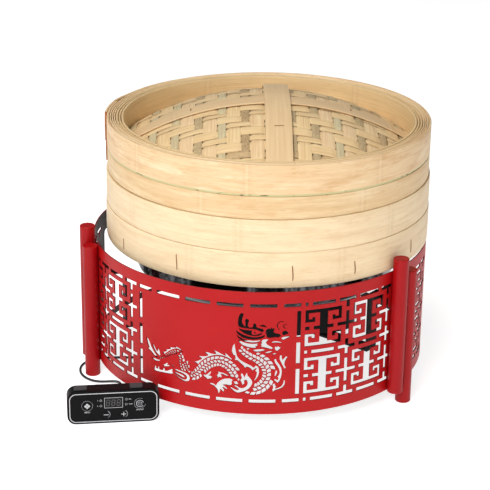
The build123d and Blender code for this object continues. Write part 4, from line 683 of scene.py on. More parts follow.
b = Build()
woven(b, 1.2, 1.0, 5, 2.2, amp=0.72)
b.make("lid_upper_weave", [weave_mat], "lid", "bamboo_weave", ["lid_woven_dome"], angle=60)
b = Build()
woven(b, 4.1, -1.0, 9, 5.0)
b.make("lid_lower_weave", [weave_mat], "lid", "bamboo_weave", angle=60)
b = Build()
N_A, N_R = 96, 14
for side in (0, 1):
    base = len(b.v)
    b.point((BX, BY, dome_z(0) - 2.35 - 0.25 * side))
    for i in range(1, N_R + 1):
        r = RE * i / N_R
        for j in range(N_A):
            a = 2 * math.pi * j / N_A
            b.point((BX + r * math.cos(a), BY + r * math.sin(a), dome_z(r) - 2.35 - 0.25 * side))
    for j in range(N_A):
        k = (j + 1) % N_A
        b.face((base, base + 1 + j, base + 1 + k))
        for i in range(N_R - 1):
            p = base + 1 + i * N_A
            b.face((p + j, p + N_A + j, p + N_A + k, p + k))
    if side:
        q0, q1 = 1 + (N_R - 1) * N_A, base + 1 + (N_R - 1) * N_A
        for j in range(N_A):
            k = (j + 1) % N_A
            b.face((q0 + j, q1 + j, q1 + k, q0 + k))
b.make("lid_leaf_liner", [liner_material()], "lid", "bamboo_weave")


def strap(name, az, off, width, lift, reach, node_name, nodes, tone, seed):
    """An arched strap over the dome, with a soft crown and eased edges."""
    c, s = math.cos(rad(az)), math.sin(rad(az))
    b = Build()
    wv = waver(seed, 0.5)
    prof = []
    hw, t = width / 2, 1.8
    m = 10
    for i in range(m + 1):
        q = -1 + 2 * i / m
        prof.append((q * (hw - 0.25), t - 0.35 * q ** 8 + 0.35 * (1 - q * q)))
    prof += [(hw, t * 0.45)]
    for i in range(m + 1):
        q = 1 - 2 * i / m
        prof.append((q * (hw - 0.3), 0.1 * (1 - q * q)))
    prof += [(-hw, t * 0.45)]
    n = 110
    rings = []
    for i in range(n + 1):
        u = -reach + 2 * reach * i / n
        tt = abs(u) / reach
        dw = wv(u / reach * 1.5)
        ring = []
        nd = min((u - x for x in nodes), key=abs)
        for v, h in prof:
            vv = off + v + dw * 0.5
            z = Z_EDGE + RISE - RS + math.sqrt((RS + lift) ** 2 - off * off - u * u) + h
            x, y = BX + u * c - vv * s, BY + u * s + vv * c
            rr = math.hypot(x - BX, y - BY)
            if rr > R_IN_L - 0.4:
                k = (R_IN_L - 0.4) / rr
                x, y = BX + (x - BX) * k, BY + (y - BY) * k
            ring.append(b.point((x, y, z), (u, v + (60 if h < 0.2 else 0), seed), tone, nd))
        rings.append(ring)
    b.sweep(rings, 0, 1)
    b.make(name, [bam_strap, cut_end], "lid", "bamboo_strap", [node_name])


strap("lid_cross_strap_strip", CROSS_AZ, CROSS_OFF, 31.0, 0.35, 174.0, "lid_cross_strap", (-118.0, 150.0), 0.0, 201)
strap("lid_long_strap_strip", STRAP_AZ, LONG_OFF, 31.8, 3.2, 175.0, "lid_front_back_strap", (10.0,), 0.0, 202)

# ================================================================ thread stitches
thread = thread_material()


def stitch(b, p0, p1, out, width=0.65, rise=0.5, sink=0.8, n=9):
    """A flat bamboo thread from p0 to p1 that bows out of the surface and goes in at both ends."""
    p0, p1, out = Vector(p0), Vector(p1), Vector(out).normalized()
    d = (p1 - p0).normalized()
    side = d.cross(out).normalized()
    rings = []
    for i in range(n + 1):
        t = i / n
        h = -sink + (sink + rise) * min(1.0, math.sin(math.pi * t) * 2.6)
        sway = 0.35 * math.sin(t * 5.0)
        w = width * (0.75 + 0.25 * math.sin(math.pi * t))
        c = p0 + (p1 - p0) * t + out * h + side * sway
        ring = []
        for k in range(8):
            a = 2 * math.pi * k / 8
            q = c + side * (w * math.cos(a)) + out * (0.3 * math.sin(a))
            ring.append(b.point(q))
        rings.append(ring)
    b.sweep(rings, 0, 0)


def band_stitches(spots, r):
    b = Build()
    for az, z0, z1 in spots:
        a = rad(az)
        o = (math.cos(a), math.sin(a), 0)
        x, y = BX + r * o[0], BY + r * o[1]
        lean = 0.6 if int(az) % 2 else -0.4
        stitch(b, (x, y, z0), (x - o[1] * lean, y + o[0] * lean, z1), o)
    return b


band_stitches([(-137.5, 184, 201), (-110.2, 186, 208), (-70.4, 186, 207), (-48.4, 186, 204), (-20.0, 186, 206),
               (30.0, 186, 206), (80.0, 186, 206), (130.0, 186, 206), (175.0, 186, 205)], R_BAND + 0.1).make(
    "basket_thread", [thread], "basket", "thread", ["basket_stitches"])
b = band_stitches([(60.0, 268, 284), (150.0, 268, 284)], R_LID - 0.3)


def on_strap(u, v, az, off, lift):
    c, s = math.cos(rad(az)), math.sin(rad(az))
    z = Z_EDGE + RISE - RS + math.sqrt((RS + lift) ** 2 - off * off - u * u) + 2.1
    return (BX + u * c - (off + v) * s, BY + u * s + (off + v) * c, z)


for u in (-92.0, 118.0):
    stitch(b, on_strap(u, 6.0, STRAP_AZ, LONG_OFF, 3.2), on_strap(u + 0.6, -7.0, STRAP_AZ, LONG_OFF, 3.2), (0, 0, 1))
for u in (-98.0, 100.0):
    stitch(b, on_strap(u, -3.0, CROSS_AZ, CROSS_OFF, 0.35), on_strap(u + 1.0, 6.0, CROSS_AZ, CROSS_OFF, 0.35), (0, 0, 1))
b.make("lid_thread", [thread], "lid", "thread", ["lid_stitches"])

# ================================================================ laser-cut panels
FIELD_C, FRET_IN, PITCH, ROW, MOD, BAR = -12.4, 108.4, 63.1, 30.75, 23.3, 4.4


def clip_x(poly, lo, hi):
    out = poly
    for lim, sign in ((lo, 1), (hi, -1)):
        res = []
        for i in range(len(out)):
            a, b = out[i], out[(i + 1) % len(out)]
            ia, ib = sign * (a[0] - lim) >= 0, sign * (b[0] - lim) >= 0
            if ia:
                res.append(a)
            if ia != ib:
                t = (lim - a[0]) / (b[0] - a[0])
                res.append((lim, a[1] + t * (b[1] - a[1])))
        out = res
        if not out:
            return []
    if max(p[0] for p in out) - min(p[0] for p in out) < 1.0:
        return []
    return out


def rect(cx, cy, hx, hy):
    return [(cx - hx, cy - hy), (cx + hx, cy - hy), (cx + hx, cy + hy), (cx - hx, cy + hy)]


def cross(cx, cy, hx, hy, bx, by):
    return [(cx - hx, cy - by), (cx - bx, cy - by), (cx - bx, cy - hy), (cx + bx, cy - hy),
            (cx + bx, cy - by), (cx + hx, cy - by), (cx + hx, cy + by), (cx + bx, cy + by),
            (cx + bx, cy + hy), (cx - bx, cy + hy), (cx - bx, cy + by), (cx - hx, cy + by)]


def module(cx, cy):
    h, b, s = MOD, BAR, 3.9
    q = [(-12.8, 2.25), (-5.3, 2.25), (-5.3, h - b), (-h + b, h - b), (-h + b, h - 15.9 + s),
         (-h + 8.5, h - 15.9 + s), (-h + 8.5, h - 9.7), (-h + 12.4, h - 9.7),
         (-h + 12.4, h - 15.9), (-h, h - 15.9), (-h, h)]
    p = (q + [(-x, y) for x, y in reversed(q)] + [(-x, -y) for x, y in q]
         + [(x, -y) for x, y in reversed(q)])
    return [(cx + x, cy + y) for x, y in p]


def half_module(cx, cy, cut, side):
    h, b, s = MOD, BAR, 3.9
    up_ = [(cut, h), (h, h), (h, h - 15.9), (h - 12.4, h - 15.9), (h - 12.4, h - 9.7),
           (h - 8.5, h - 9.7), (h - 8.5, h - 15.9 + s), (h - b, h - 15.9 + s), (h - b, h - b), (cut, h - b)]
    out = [up_, [(x, -y) for x, y in up_], rect((cut + 12.8) / 2, 0, (12.8 - cut) / 2, 2.25)]
    return [[(cx + side * x, cy + y) for x, y in p] for p in out]


def tee(cx, sign):
    y0, y1, y2 = 51.1 * sign, 59.2 * sign, 63.8 * sign
    return [(cx - 11.7, y2), (cx + 11.7, y2), (cx + 11.7, y1), (cx + 2.35, y1),
            (cx + 2.35, y0), (cx - 2.35, y0), (cx - 2.35, y1), (cx - 11.7, y1)]


def lattice(mods, crosses, lo, hi):
    out = []
    for c in mods:
        for y in (ROW, -ROW):
            out.append(module(c, y))
        for y in (61.5, 0.0, -61.5):
            out.append(rect(c, y, 14.6, 2.3))
    for c in crosses:
        for y in (ROW, -ROW):
            out.append(cross(c, y, 13.8, 15.4, 2.35, 2.2))
        out.append(cross(c, 0.0, 11.85, 10.0, 2.35, 2.2))
        out.append(tee(c, 1))
        out.append(tee(c, -1))
    return [q for q in (clip_x(p, lo, hi) for p in out) if q]


def front_lattice():
    r0, l0 = FIELD_C + FRET_IN, FIELD_C - FRET_IN
    m = FIELD_C + 131.8
    out = lattice((m, m + PITCH), (m - PITCH / 2, m + PITCH / 2, m + 1.5 * PITCH), r0, 220.5)
    k = FIELD_C - 118.1
    out += lattice((k - PITCH / 2,), (k, k - PITCH), -220.0, l0)
    for y in (ROW, -ROW):
        out += half_module(k - 1.5 * PITCH, y, 6.1, 1)
    for y in (61.5, 0.0, -61.5):
        out.append(rect(k - 1.5 * PITCH + 10.3, y, 4.3, 2.3))
    for sy in (61.5, -61.5):
        for d in (-59.2, -19.75, 19.75, 59.2):
            out.append(rect(FIELD_C + d, sy, 15.9, 2.3))
        out.append(rect(FIELD_C + 93.15, sy, 10.25, 2.3))
        out.append(rect(FIELD_C - 93.15, sy, 10.25, 2.3))
    for sx in (-101.0, 101.0):
        out.append(rect(FIELD_C + sx, 0.0, 2.45, 13.6))
        out.append(rect(FIELD_C + sx, 37.2, 2.45, 16.6))
        out.append(rect(FIELD_C + sx, -37.2, 2.45, 16.6))
    return out


def rear_lattice(half):
    out = []
    for side in (-1, 1):
        p = lattice((163.1,), (131.55, 194.65), 117.5, half - 4.5)
        out += [[(side * x, y) for x, y in q] for q in p]
    return out


# ---------------------------------------------------------------- dragon cut-outs
def smooth(ctrl, step=1.0):
    pts = []
    n = len(ctrl)
    for i in range(n - 1):
        p0, p1 = ctrl[max(i - 1, 0)], ctrl[i]
        p2, p3 = ctrl[i + 1], ctrl[min(i + 2, n - 1)]
        m = max(2, int(math.dist(p1[:2], p2[:2]) / step))
        for j in range(m):
            t = j / m
            pts.append(tuple(0.5 * (2 * b + (c - a) * t + (2 * a - 5 * b + 4 * c - d) * t * t
                                    + (3 * b - a - 3 * c + d) * t ** 3)
                             for a, b, c, d in zip(p0, p1, p2, p3)))
    pts.append(ctrl[-1])
    return pts


class Spine:
    def __init__(self, ctrl):
        self.p = smooth(ctrl, 0.6)
        self.s = [0.0]
        for a, b in zip(self.p, self.p[1:]):
            self.s.append(self.s[-1] + math.dist(a[:2], b[:2]))
        self.len = self.s[-1]

    def at(self, u, v=0.0, absolute=False):
        u = min(max(u, 0.0), self.len - 1e-6)
        lo, hi = 0, len(self.s) - 1
        while hi - lo > 1:
            mid = (lo + hi) // 2
            if self.s[mid] <= u:
                lo = mid
            else:
                hi = mid
        a, b = self.p[lo], self.p[lo + 1]
        t = (u - self.s[lo]) / (self.s[lo + 1] - self.s[lo])
        x, y = a[0] + t * (b[0] - a[0]), a[1] + t * (b[1] - a[1])
        hw = a[2] + t * (b[2] - a[2])
        i0, i1 = max(lo - 2, 0), min(lo + 3, len(self.p) - 1)
        dx, dy = self.p[i1][0] - self.p[i0][0], self.p[i1][1] - self.p[i0][1]
        n = math.hypot(dx, dy)
        d = v if absolute else v * hw
        return (x - dy / n * d, y + dx / n * d)

    def hw(self, u):
        u = min(max(u, 0.0), self.len)
        for i in range(len(self.s) - 1):
            if self.s[i + 1] >= u:
                t = (u - self.s[i]) / (self.s[i + 1] - self.s[i])
                return self.p[i][2] + t * (self.p[i + 1][2] - self.p[i][2])
        return self.p[-1][2]


# body centre line from tail to head: arc position, height, half width
BODY = [(-91.0, -26.0, 0.9), (-83.0, -23.6, 1.5), (-74.5, -18.6, 2.2), (-66.0, -12.6, 2.9),
        (-58.5, -10.0, 3.5), (-53.6, -14.4, 4.0), (-51.6, -23.5, 4.7), (-48.0, -32.2, 5.3),
        (-42.0, -37.0, 5.8), (-35.0, -35.4, 6.2), (-28.6, -28.6, 6.4), (-22.0, -20.6, 6.6),
        (-13.5, -14.6, 6.8), (-4.0, -12.6, 7.0), (5.5, -16.0, 7.1), (12.8, -23.2, 7.2),
        (17.6, -32.4, 7.2), (23.4, -41.4, 7.3), (33.2, -46.4, 7.6), (44.2, -43.6, 8.0),
        (52.0, -35.0, 8.1), (54.6, -24.4, 8.1), (51.0, -13.8, 8.0), (43.0, -6.2, 7.6),
        (33.0, -1.2, 6.9), (24.6, 4.4, 6.2), (20.0, 10.5, 5.6)]


def scales(sp):
    # staggered rows of slanting scales, with a thin bridge of metal round each
    out = []
    gap = 0.4
    u = 4.0
    while u < sp.len - 3.0:
        hw = sp.hw(u)
        rows = 1 if hw < 1.7 else (2 if hw < 4.3 else 3)
        step = max(2.9, min(5.4, 2.0 * hw / rows * 1.02))
        for r in range(rows):
            v0, v1 = -1 + 2 * r / rows + gap / hw, -1 + 2 * (r + 1) / rows - gap / hw
            off = 0.5 * step if r % 2 else 0.0
            a, b = u + off + gap, u + off + step - gap
            if b > sp.len - 1.0:
                continue
            sl = 0.16 * step * (1 if r % 2 else -1)
            vm = (v0 + v1) / 2
            out.append([sp.at(a + sl, v0), sp.at(b + sl - 0.25, v0), sp.at(b + 0.15, vm), sp.at(b - sl - 0.25, v1),
                        sp.at(a - sl, v1), sp.at(a + 0.15, vm)])
        u += step
    return out


def crest(sp, u0, u1, n, h0, h1, base=0.85):
    # a band along the back with n flames that lean towards the tail
    seg = (u1 - u0) / n
    inner, outer = [], []
    m = max(4, int((u1 - u0) / 2.4))
    for i in range(m + 1):
        u = u0 + (u1 - u0) * i / m
        inner.append(sp.at(u, sp.hw(u) + base, absolute=True))
    for i in range(n):
        h = h0 + (h1 - h0) * math.sin(math.pi * (i + 0.5) / n)
        low = 0.8 + 0.12 * h
        for t, d in ((0.12, low), (0.06, low + 0.45 * (h - low)), (-0.10, h), (0.26, h * 0.74), (0.58, low + 0.25 * (h - low)), (0.92, low)):
            u = u0 + (i + t) * seg
            outer.append(sp.at(u, sp.hw(u) + base + d, absolute=True))
    return inner + outer[::-1]


def leaf(p0, p1, bulge, width, n=5):
    # a pointed curved blade from p0 to p1
    dx, dy = p1[0] - p0[0], p1[1] - p0[1]
    L = math.hypot(dx, dy)
    nx, ny = -dy / L, dx / L
    up, dn = [], []
    for i in range(n + 1):
        t = i / n
        m = bulge * 4 * t * (1 - t)
        w = width * (math.sin(math.pi * t ** 0.75)) / 2
        cx, cy = p0[0] + dx * t + nx * m, p0[1] + dy * t + ny * m
        up.append((cx + nx * w, cy + ny * w))
        dn.append((cx - nx * w, cy - ny * w))
    return up[:-1] + [p1] + dn[1:-1][::-1] + ([] if width else [])


def curl(cx, cy, r0, r1, a0, a1, w, n=8):
    out_o, out_i = [], []
    for i in range(n + 1):
        t = i / n
        a = rad(a0 + (a1 - a0) * t)
        r = r0 + (r1 - r0) * t
        h = w / 2 * (0.55 + 0.45 * math.sin(math.pi * t))
        out_o.append((cx + (r + h) * math.cos(a), cy + (r + h) * math.sin(a)))
        out_i.append((cx + (r - h) * math.cos(a), cy + (r - h) * math.sin(a)))
    return out_o + out_i[::-1]


def seg_gap(a, b, c, d):
    def cr(o, p, q):
        return (p[0] - o[0]) * (q[1] - o[1]) - (p[1] - o[1]) * (q[0] - o[0])
    if cr(a, b, c) * cr(a, b, d) < 0 and cr(c, d, a) * cr(c, d, b) < 0:
        return 0.0

    def pd(p, e, f):
        dx, dy = f[0] - e[0], f[1] - e[1]
        t = max(0.0, min(1.0, ((p[0] - e[0]) * dx + (p[1] - e[1]) * dy) / max(dx * dx + dy * dy, 1e-12)))
        return math.hypot(p[0] - e[0] - t * dx, p[1] - e[1] - t * dy)
    return min(pd(a, c, d), pd(b, c, d), pd(c, a, b), pd(d, a, b))


def edges_of(p):
    return list(zip(p, p[1:] + p[:1]))


def far_apart(p, q, g):
    # True where the metal left between two cut-outs is at least g wide
    if (min(v[0] for v in p) - g > max(v[0] for v in q) or min(v[0] for v in q) - g > max(v[0] for v in p)
            or min(v[1] for v in p) - g > max(v[1] for v in q) or min(v[1] for v in q) - g > max(v[1] for v in p)):
        return True
    return all(seg_gap(a, b, c, d) >= g for a, b in edges_of(p) for c, d in edges_of(q))


def sound(p, g):
    # True where a small cut-out has no short edge and doesn't pinch
    e = edges_of(p)
    n = len(e)
    if min(math.dist(a, b) for a, b in e) < g:
        return False
    return all(seg_gap(*e[i], *e[j]) >= g for i in range(n) for j in range(i + 2, n) if (i, j) != (0, n - 1))


def dragon():
    sp = Spine(BODY)
    L = sp.len
    out = []
    out.append([(17.5, 34.7), (16.8, 39.3), (17.3, 45.5), (19.0, 50.5), (21.3, 52.3), (23.7, 51.0),
                (23.0, 47.7), (21.7, 43.8), (22.0, 39.3), (24.0, 36.3), (25.7, 35.0), (25.7, 39.3),
                (25.0, 43.0), (26.7, 45.0), (29.3, 44.3), (30.0, 41.7), (28.7, 39.3), (28.7, 36.0),
                (30.3, 34.0), (34.0, 34.3), (35.0, 37.0), (34.7, 39.3), (37.0, 39.7), (38.7, 37.3),
                (38.7, 34.7), (41.3, 33.7), (45.7, 33.0), (47.7, 31.0), (46.3, 28.3), (43.0, 29.3),
                (39.7, 31.0), (35.5, 32.0), (30.0, 32.3), (25.5, 32.7), (21.0, 33.2)])
    out.append([(42.0, 36.0), (44.0, 37.7), (47.0, 38.0), (49.7, 36.3), (51.0, 34.3), (48.7, 34.7),
                (46.0, 35.3)])
    out.append([(17.8, 32.7), (20.3, 31.7), (23.7, 31.0), (28.3, 30.7), (32.7, 30.3), (34.3, 29.8),
                (33.0, 27.8), (33.7, 25.5), (36.0, 24.5), (39.3, 25.2), (42.3, 26.8), (44.3, 27.5),
                (45.7, 26.7), (44.3, 24.8), (41.3, 23.5), (36.7, 23.0), (31.3, 23.7), (26.3, 25.3),
                (22.0, 27.8), (19.3, 30.2)])
    out.append([(38.2, 27.5), (37.8, 26.7), (37.0, 26.3), (36.2, 26.7), (35.8, 27.5), (36.2, 28.3),
                (37.0, 28.7), (37.8, 28.3)])
    out.append([(14.7, 30.3), (16.3, 28.7), (19.3, 26.7), (23.7, 24.5), (29.0, 22.8), (34.7, 21.7),
                (39.7, 22.0), (44.0, 23.0), (47.0, 24.3), (48.3, 25.0), (48.7, 23.3), (47.7, 21.7),
                (44.7, 20.2), (41.0, 19.2), (34.7, 18.5), (28.0, 19.2), (22.3, 20.8), (18.0, 23.8),
                (15.3, 27.0)])
    out.append([(15.2, 25.3), (18.0, 22.2), (22.7, 19.3), (28.3, 17.7), (35.0, 17.0), (40.7, 17.5),
                (44.0, 18.2), (42.7, 16.3), (38.0, 14.8), (32.0, 14.5), (25.7, 15.5), (20.0, 17.8),
                (16.7, 21.0)])
    out.append([(17.5, 18.7), (20.3, 16.2), (25.7, 14.0), (32.0, 13.0), (38.3, 13.3), (41.3, 14.0),
                (39.7, 12.0), (41.3, 11.0), (37.7, 9.7), (39.0, 7.8), (34.3, 7.7), (28.3, 8.7),
                (22.7, 10.7), (19.0, 14.0)])
    out.append([(50.3, 25.3), (49.3, 28.0), (49.7, 31.0), (51.3, 32.5), (53.3, 33.5), (54.7, 32.2),
                (56.3, 34.7), (57.7, 32.5), (59.3, 34.0), (59.7, 31.0), (58.7, 28.7), (60.7, 27.2),
                (64.3, 26.5), (67.0, 25.3), (67.2, 22.8), (64.7, 21.5), (60.7, 21.8), (55.3, 21.0),
                (51.7, 21.3), (50.7, 23.0)])
    out.append([(68.5, 26.7), (69.3, 28.8), (71.7, 30.0), (74.3, 29.3), (76.0, 27.3), (76.3, 25.0),
                (74.3, 25.7), (72.7, 24.2), (70.0, 24.3)])
    out.append([(68.0, 20.7), (71.7, 22.3), (75.7, 23.0), (79.0, 22.3), (76.3, 20.5), (72.7, 19.0),
                (70.7, 17.8), (69.0, 19.0)])
    out.append([(46.0, 18.7), (49.7, 19.3), (53.3, 19.0), (51.7, 17.0), (50.0, 14.8), (51.7, 12.3),
                (54.7, 10.5), (57.3, 9.0), (58.7, 7.0), (56.3, 6.3), (52.0, 7.7), (48.0, 8.7),
                (43.7, 9.5), (45.3, 11.3), (43.7, 12.3), (45.7, 14.5), (44.0, 15.7), (45.7, 17.0)])
    out.append([(56.7, 15.7), (60.0, 16.8), (64.0, 16.5), (68.0, 15.2), (68.7, 13.7), (64.7, 14.5),
                (60.7, 14.7), (57.7, 14.2)])
    out.append([(60.7, 8.3), (61.0, 10.0), (62.7, 9.0), (64.3, 10.3), (65.7, 8.8), (68.0, 8.8),
                (66.3, 6.2), (63.7, 3.7), (61.3, 5.0)])
    out.append([(34.0, 5.0), (39.7, 6.3), (46.7, 6.7), (50.0, 5.3), (44.7, 3.5), (38.3, 2.8)])
    out.append([(48.0, 1.2), (52.7, 3.7), (58.3, 4.3), (56.7, 2.5), (52.7, 1.0)])
    out.append([(57.3, -0.5), (60.0, 1.5), (63.0, 1.0), (61.0, -0.8)])
    out.append([(12.0, -3.0), (10.0, 2.0), (11.0, 8.3), (13.3, 12.3), (13.7, 8.7), (14.7, 3.0),
                (16.3, -3.7), (19.3, -7.5), (23.3, -10.2), (27.3, -12.3), (31.3, -14.2),
                (34.0, -15.7), (35.8, -17.5), (37.3, -17.0), (38.3, -14.7), (40.3, -15.3),
                (42.0, -18.0), (42.7, -23.7), (41.5, -29.0), (38.7, -33.7), (36.5, -35.0),
                (38.5, -31.3), (39.8, -27.0), (40.3, -23.7), (38.7, -22.7), (38.2, -20.7),
                (40.0, -19.0), (38.3, -18.8), (36.3, -20.3), (35.0, -21.7), (33.0, -19.0),
                (30.3, -17.5), (27.7, -16.8), (26.0, -18.7), (24.3, -15.7), (21.3, -13.3),
                (18.7, -10.7), (16.3, -9.0), (13.7, -9.7), (14.7, -7.0), (14.0, -3.0)])
    out.append([(22.3, -25.0), (24.2, -27.7), (25.7, -31.0), (26.7, -27.7), (28.3, -24.3),
                (29.0, -28.0), (31.3, -30.3), (34.0, -33.7), (35.0, -37.7), (33.3, -42.3),
                (30.0, -46.3), (25.7, -49.0), (21.3, -50.7), (17.3, -51.7), (13.7, -50.0),
                (11.3, -47.7), (8.7, -46.0), (10.0, -44.7), (14.0, -46.7), (17.0, -48.0),
                (19.0, -47.0), (16.7, -45.0), (14.0, -43.3), (12.7, -41.7), (16.3, -42.0),
                (20.0, -44.7), (23.7, -45.0), (27.7, -42.7), (29.7, -38.7), (28.7, -35.0),
                (26.7, -34.0), (24.7, -35.7), (25.7, -38.7), (23.3, -41.0), (22.0, -37.7),
                (20.3, -34.7), (22.7, -32.0), (21.0, -28.3)])
    out.append([(-92.7, -42.2), (-92.2, -39.0), (-90.8, -36.0), (-89.3, -36.0), (-89.7, -38.8),
                (-87.2, -39.2), (-86.5, -35.7), (-84.8, -35.7), (-84.5, -39.2), (-79.7, -39.2),
                (-78.5, -35.5), (-76.8, -35.7), (-76.2, -38.8), (-71.7, -37.8), (-68.0, -35.0),
                (-65.0, -33.8), (-65.7, -36.3), (-64.3, -39.3), (-68.0, -41.0), (-75.3, -41.8),
                (-83.7, -42.5), (-90.3, -43.2)])
    out.append([(-62.3, -36.7), (-57.0, -37.3), (-51.3, -38.3), (-48.7, -40.2), (-48.8, -41.8),
                (-52.0, -41.7), (-57.7, -39.3), (-61.7, -38.3)])
    out.append([(-62.7, -40.3), (-57.0, -43.2), (-52.0, -45.5), (-47.3, -46.3), (-43.3, -44.5),
                (-41.5, -41.0), (-42.5, -37.2), (-46.3, -34.8), (-52.7, -33.5), (-60.3, -32.5),
                (-62.0, -34.3), (-57.0, -35.5), (-51.0, -36.5), (-46.7, -38.5), (-45.7, -41.3),
                (-47.3, -44.0), (-52.0, -43.7), (-57.7, -41.3), (-62.0, -39.3)])
    out.append([(-79.0, -32.0), (-75.3, -29.7), (-72.7, -27.3), (-71.7, -28.3), (-73.3, -30.3),
                (-69.3, -29.7), (-70.7, -32.0), (-74.7, -32.7), (-77.0, -33.7)])
    out.append([(-68.0, -28.3), (-65.3, -28.0), (-63.0, -29.7), (-62.3, -31.7), (-64.3, -30.3)])
    out.append([(-24.3, -32.0), (-21.0, -32.7), (-18.0, -29.7), (-14.7, -26.3), (-15.3, -29.7),
                (-18.0, -32.7), (-15.3, -32.7), (-12.7, -34.3), (-15.3, -35.7), (-14.3, -37.7),
                (-17.0, -36.7), (-19.3, -38.0), (-21.3, -36.3), (-24.0, -34.7)])
    out.append([(-7.0, -25.0), (-4.7, -26.3), (-0.3, -26.7), (4.0, -28.3), (7.3, -30.7),
                (4.0, -30.7), (0.0, -29.0), (-3.0, -28.7), (-1.7, -31.0), (-2.7, -34.0),
                (-4.7, -32.7), (-7.0, -34.7), (-6.7, -32.0), (-9.3, -31.3), (-6.3, -30.0),
                (-5.7, -28.0)])
    out.append([(-17.0, -43.0), (-14.0, -41.7), (-11.0, -42.7), (-8.7, -44.7), (-6.7, -40.7),
                (-2.3, -36.3), (2.3, -34.0), (7.7, -33.3), (11.7, -34.7), (10.0, -37.7),
                (11.0, -40.7), (8.0, -43.0), (4.0, -42.0), (-0.3, -42.7), (2.7, -44.3), (5.0, -46.7),
                (4.0, -48.3), (1.3, -46.3), (-0.7, -46.0), (1.3, -49.0), (0.3, -52.0), (-1.7, -50.0),
                (-3.3, -48.3), (-3.7, -51.3), (-5.7, -54.7), (-6.3, -51.0), (-8.3, -48.0),
                (-11.7, -45.0), (-14.7, -44.3)])
    out.append([(60.0, -7.0), (62.0, -6.0), (63.0, -9.0), (65.0, -11.7), (67.0, -15.0),
                (68.8, -18.3), (69.7, -23.7), (68.8, -30.3), (67.0, -35.3), (65.0, -37.7),
                (62.3, -35.3), (60.7, -34.3), (61.3, -32.0), (64.7, -34.0), (66.0, -31.3),
                (64.3, -29.0), (66.3, -27.3), (67.2, -23.7), (66.5, -19.7), (64.3, -15.7),
                (61.7, -12.0)])
    out.append([(67.0, -1.7), (69.3, -2.0), (69.0, -5.0), (70.0, -8.0), (72.0, -5.7), (74.0, -3.3),
                (76.3, -4.3), (74.2, -7.2), (72.8, -10.3), (72.2, -14.7), (74.5, -18.0),
                (73.0, -19.7), (71.5, -17.0), (69.7, -13.3), (68.0, -9.7), (66.5, -6.0)])
    out.append([(72.3, -33.7), (73.7, -35.7), (73.3, -40.3), (70.7, -44.0), (66.3, -46.0),
                (61.7, -47.3), (59.7, -49.3), (58.7, -46.3), (60.0, -43.0), (58.7, -39.7),
                (60.7, -38.0), (62.3, -39.3), (61.3, -41.0), (63.7, -40.7), (62.3, -43.7),
                (62.0, -45.0), (66.0, -44.0), (69.7, -41.7), (71.7, -38.0)])
    out.append([(61.3, -25.3), (62.7, -20.3), (64.3, -23.7), (63.0, -27.3), (61.3, -29.7)])
    out.append([(-105.0, -2.0), (-101.3, -3.7), (-99.0, -7.8), (-96.0, -13.7), (-92.0, -18.7),
                (-87.3, -22.7), (-85.7, -23.8), (-88.7, -24.7), (-93.0, -23.0), (-97.7, -19.0),
                (-102.3, -17.0), (-100.3, -15.3), (-102.7, -10.3)])
    out.append([(-95.3, -6.7), (-92.0, -9.7), (-89.0, -15.0), (-87.3, -16.0), (-87.0, -11.3),
                (-84.3, -13.7), (-82.7, -20.0), (-85.3, -21.3), (-90.0, -18.0), (-93.3, -13.3)])
    out.append([(-96.7, -26.3), (-92.0, -26.2), (-87.0, -27.0), (-83.0, -26.3), (-85.3, -28.7),
                (-90.3, -29.7), (-94.7, -28.3)])
    # whiskers
    out.append(curl(68.4, 37.0, 6.2, 4.6, 250, 60, 1.2, 9))
    out.append(curl(72.4, 35.6, 2.6, 1.9, 300, 30, 1.1, 8))
    for p in (crest(sp, 16.0, 41.0, 4, 2.6, 4.2), crest(sp, 49.0, 62.0, 2, 3.2, 3.6), crest(sp, 91.0, 128.0, 5, 4.4, 7.4)):
        if sound(p, 0.25) and all(far_apart(p, q, 0.55) for q in out):
            out.append(p)
    for p in scales(sp):
        cx, cy = sum(x for x, _ in p) / len(p), sum(y for _, y in p) / len(p)
        for k in (1.0, 0.82, 0.64):
            q = [(cx + (x - cx) * k, cy + (y - cy) * k) for x, y in p]
            if sound(q, 0.3) and all(far_apart(q, o, 0.55) for o in out):
                out.append(q)
                break
    return out


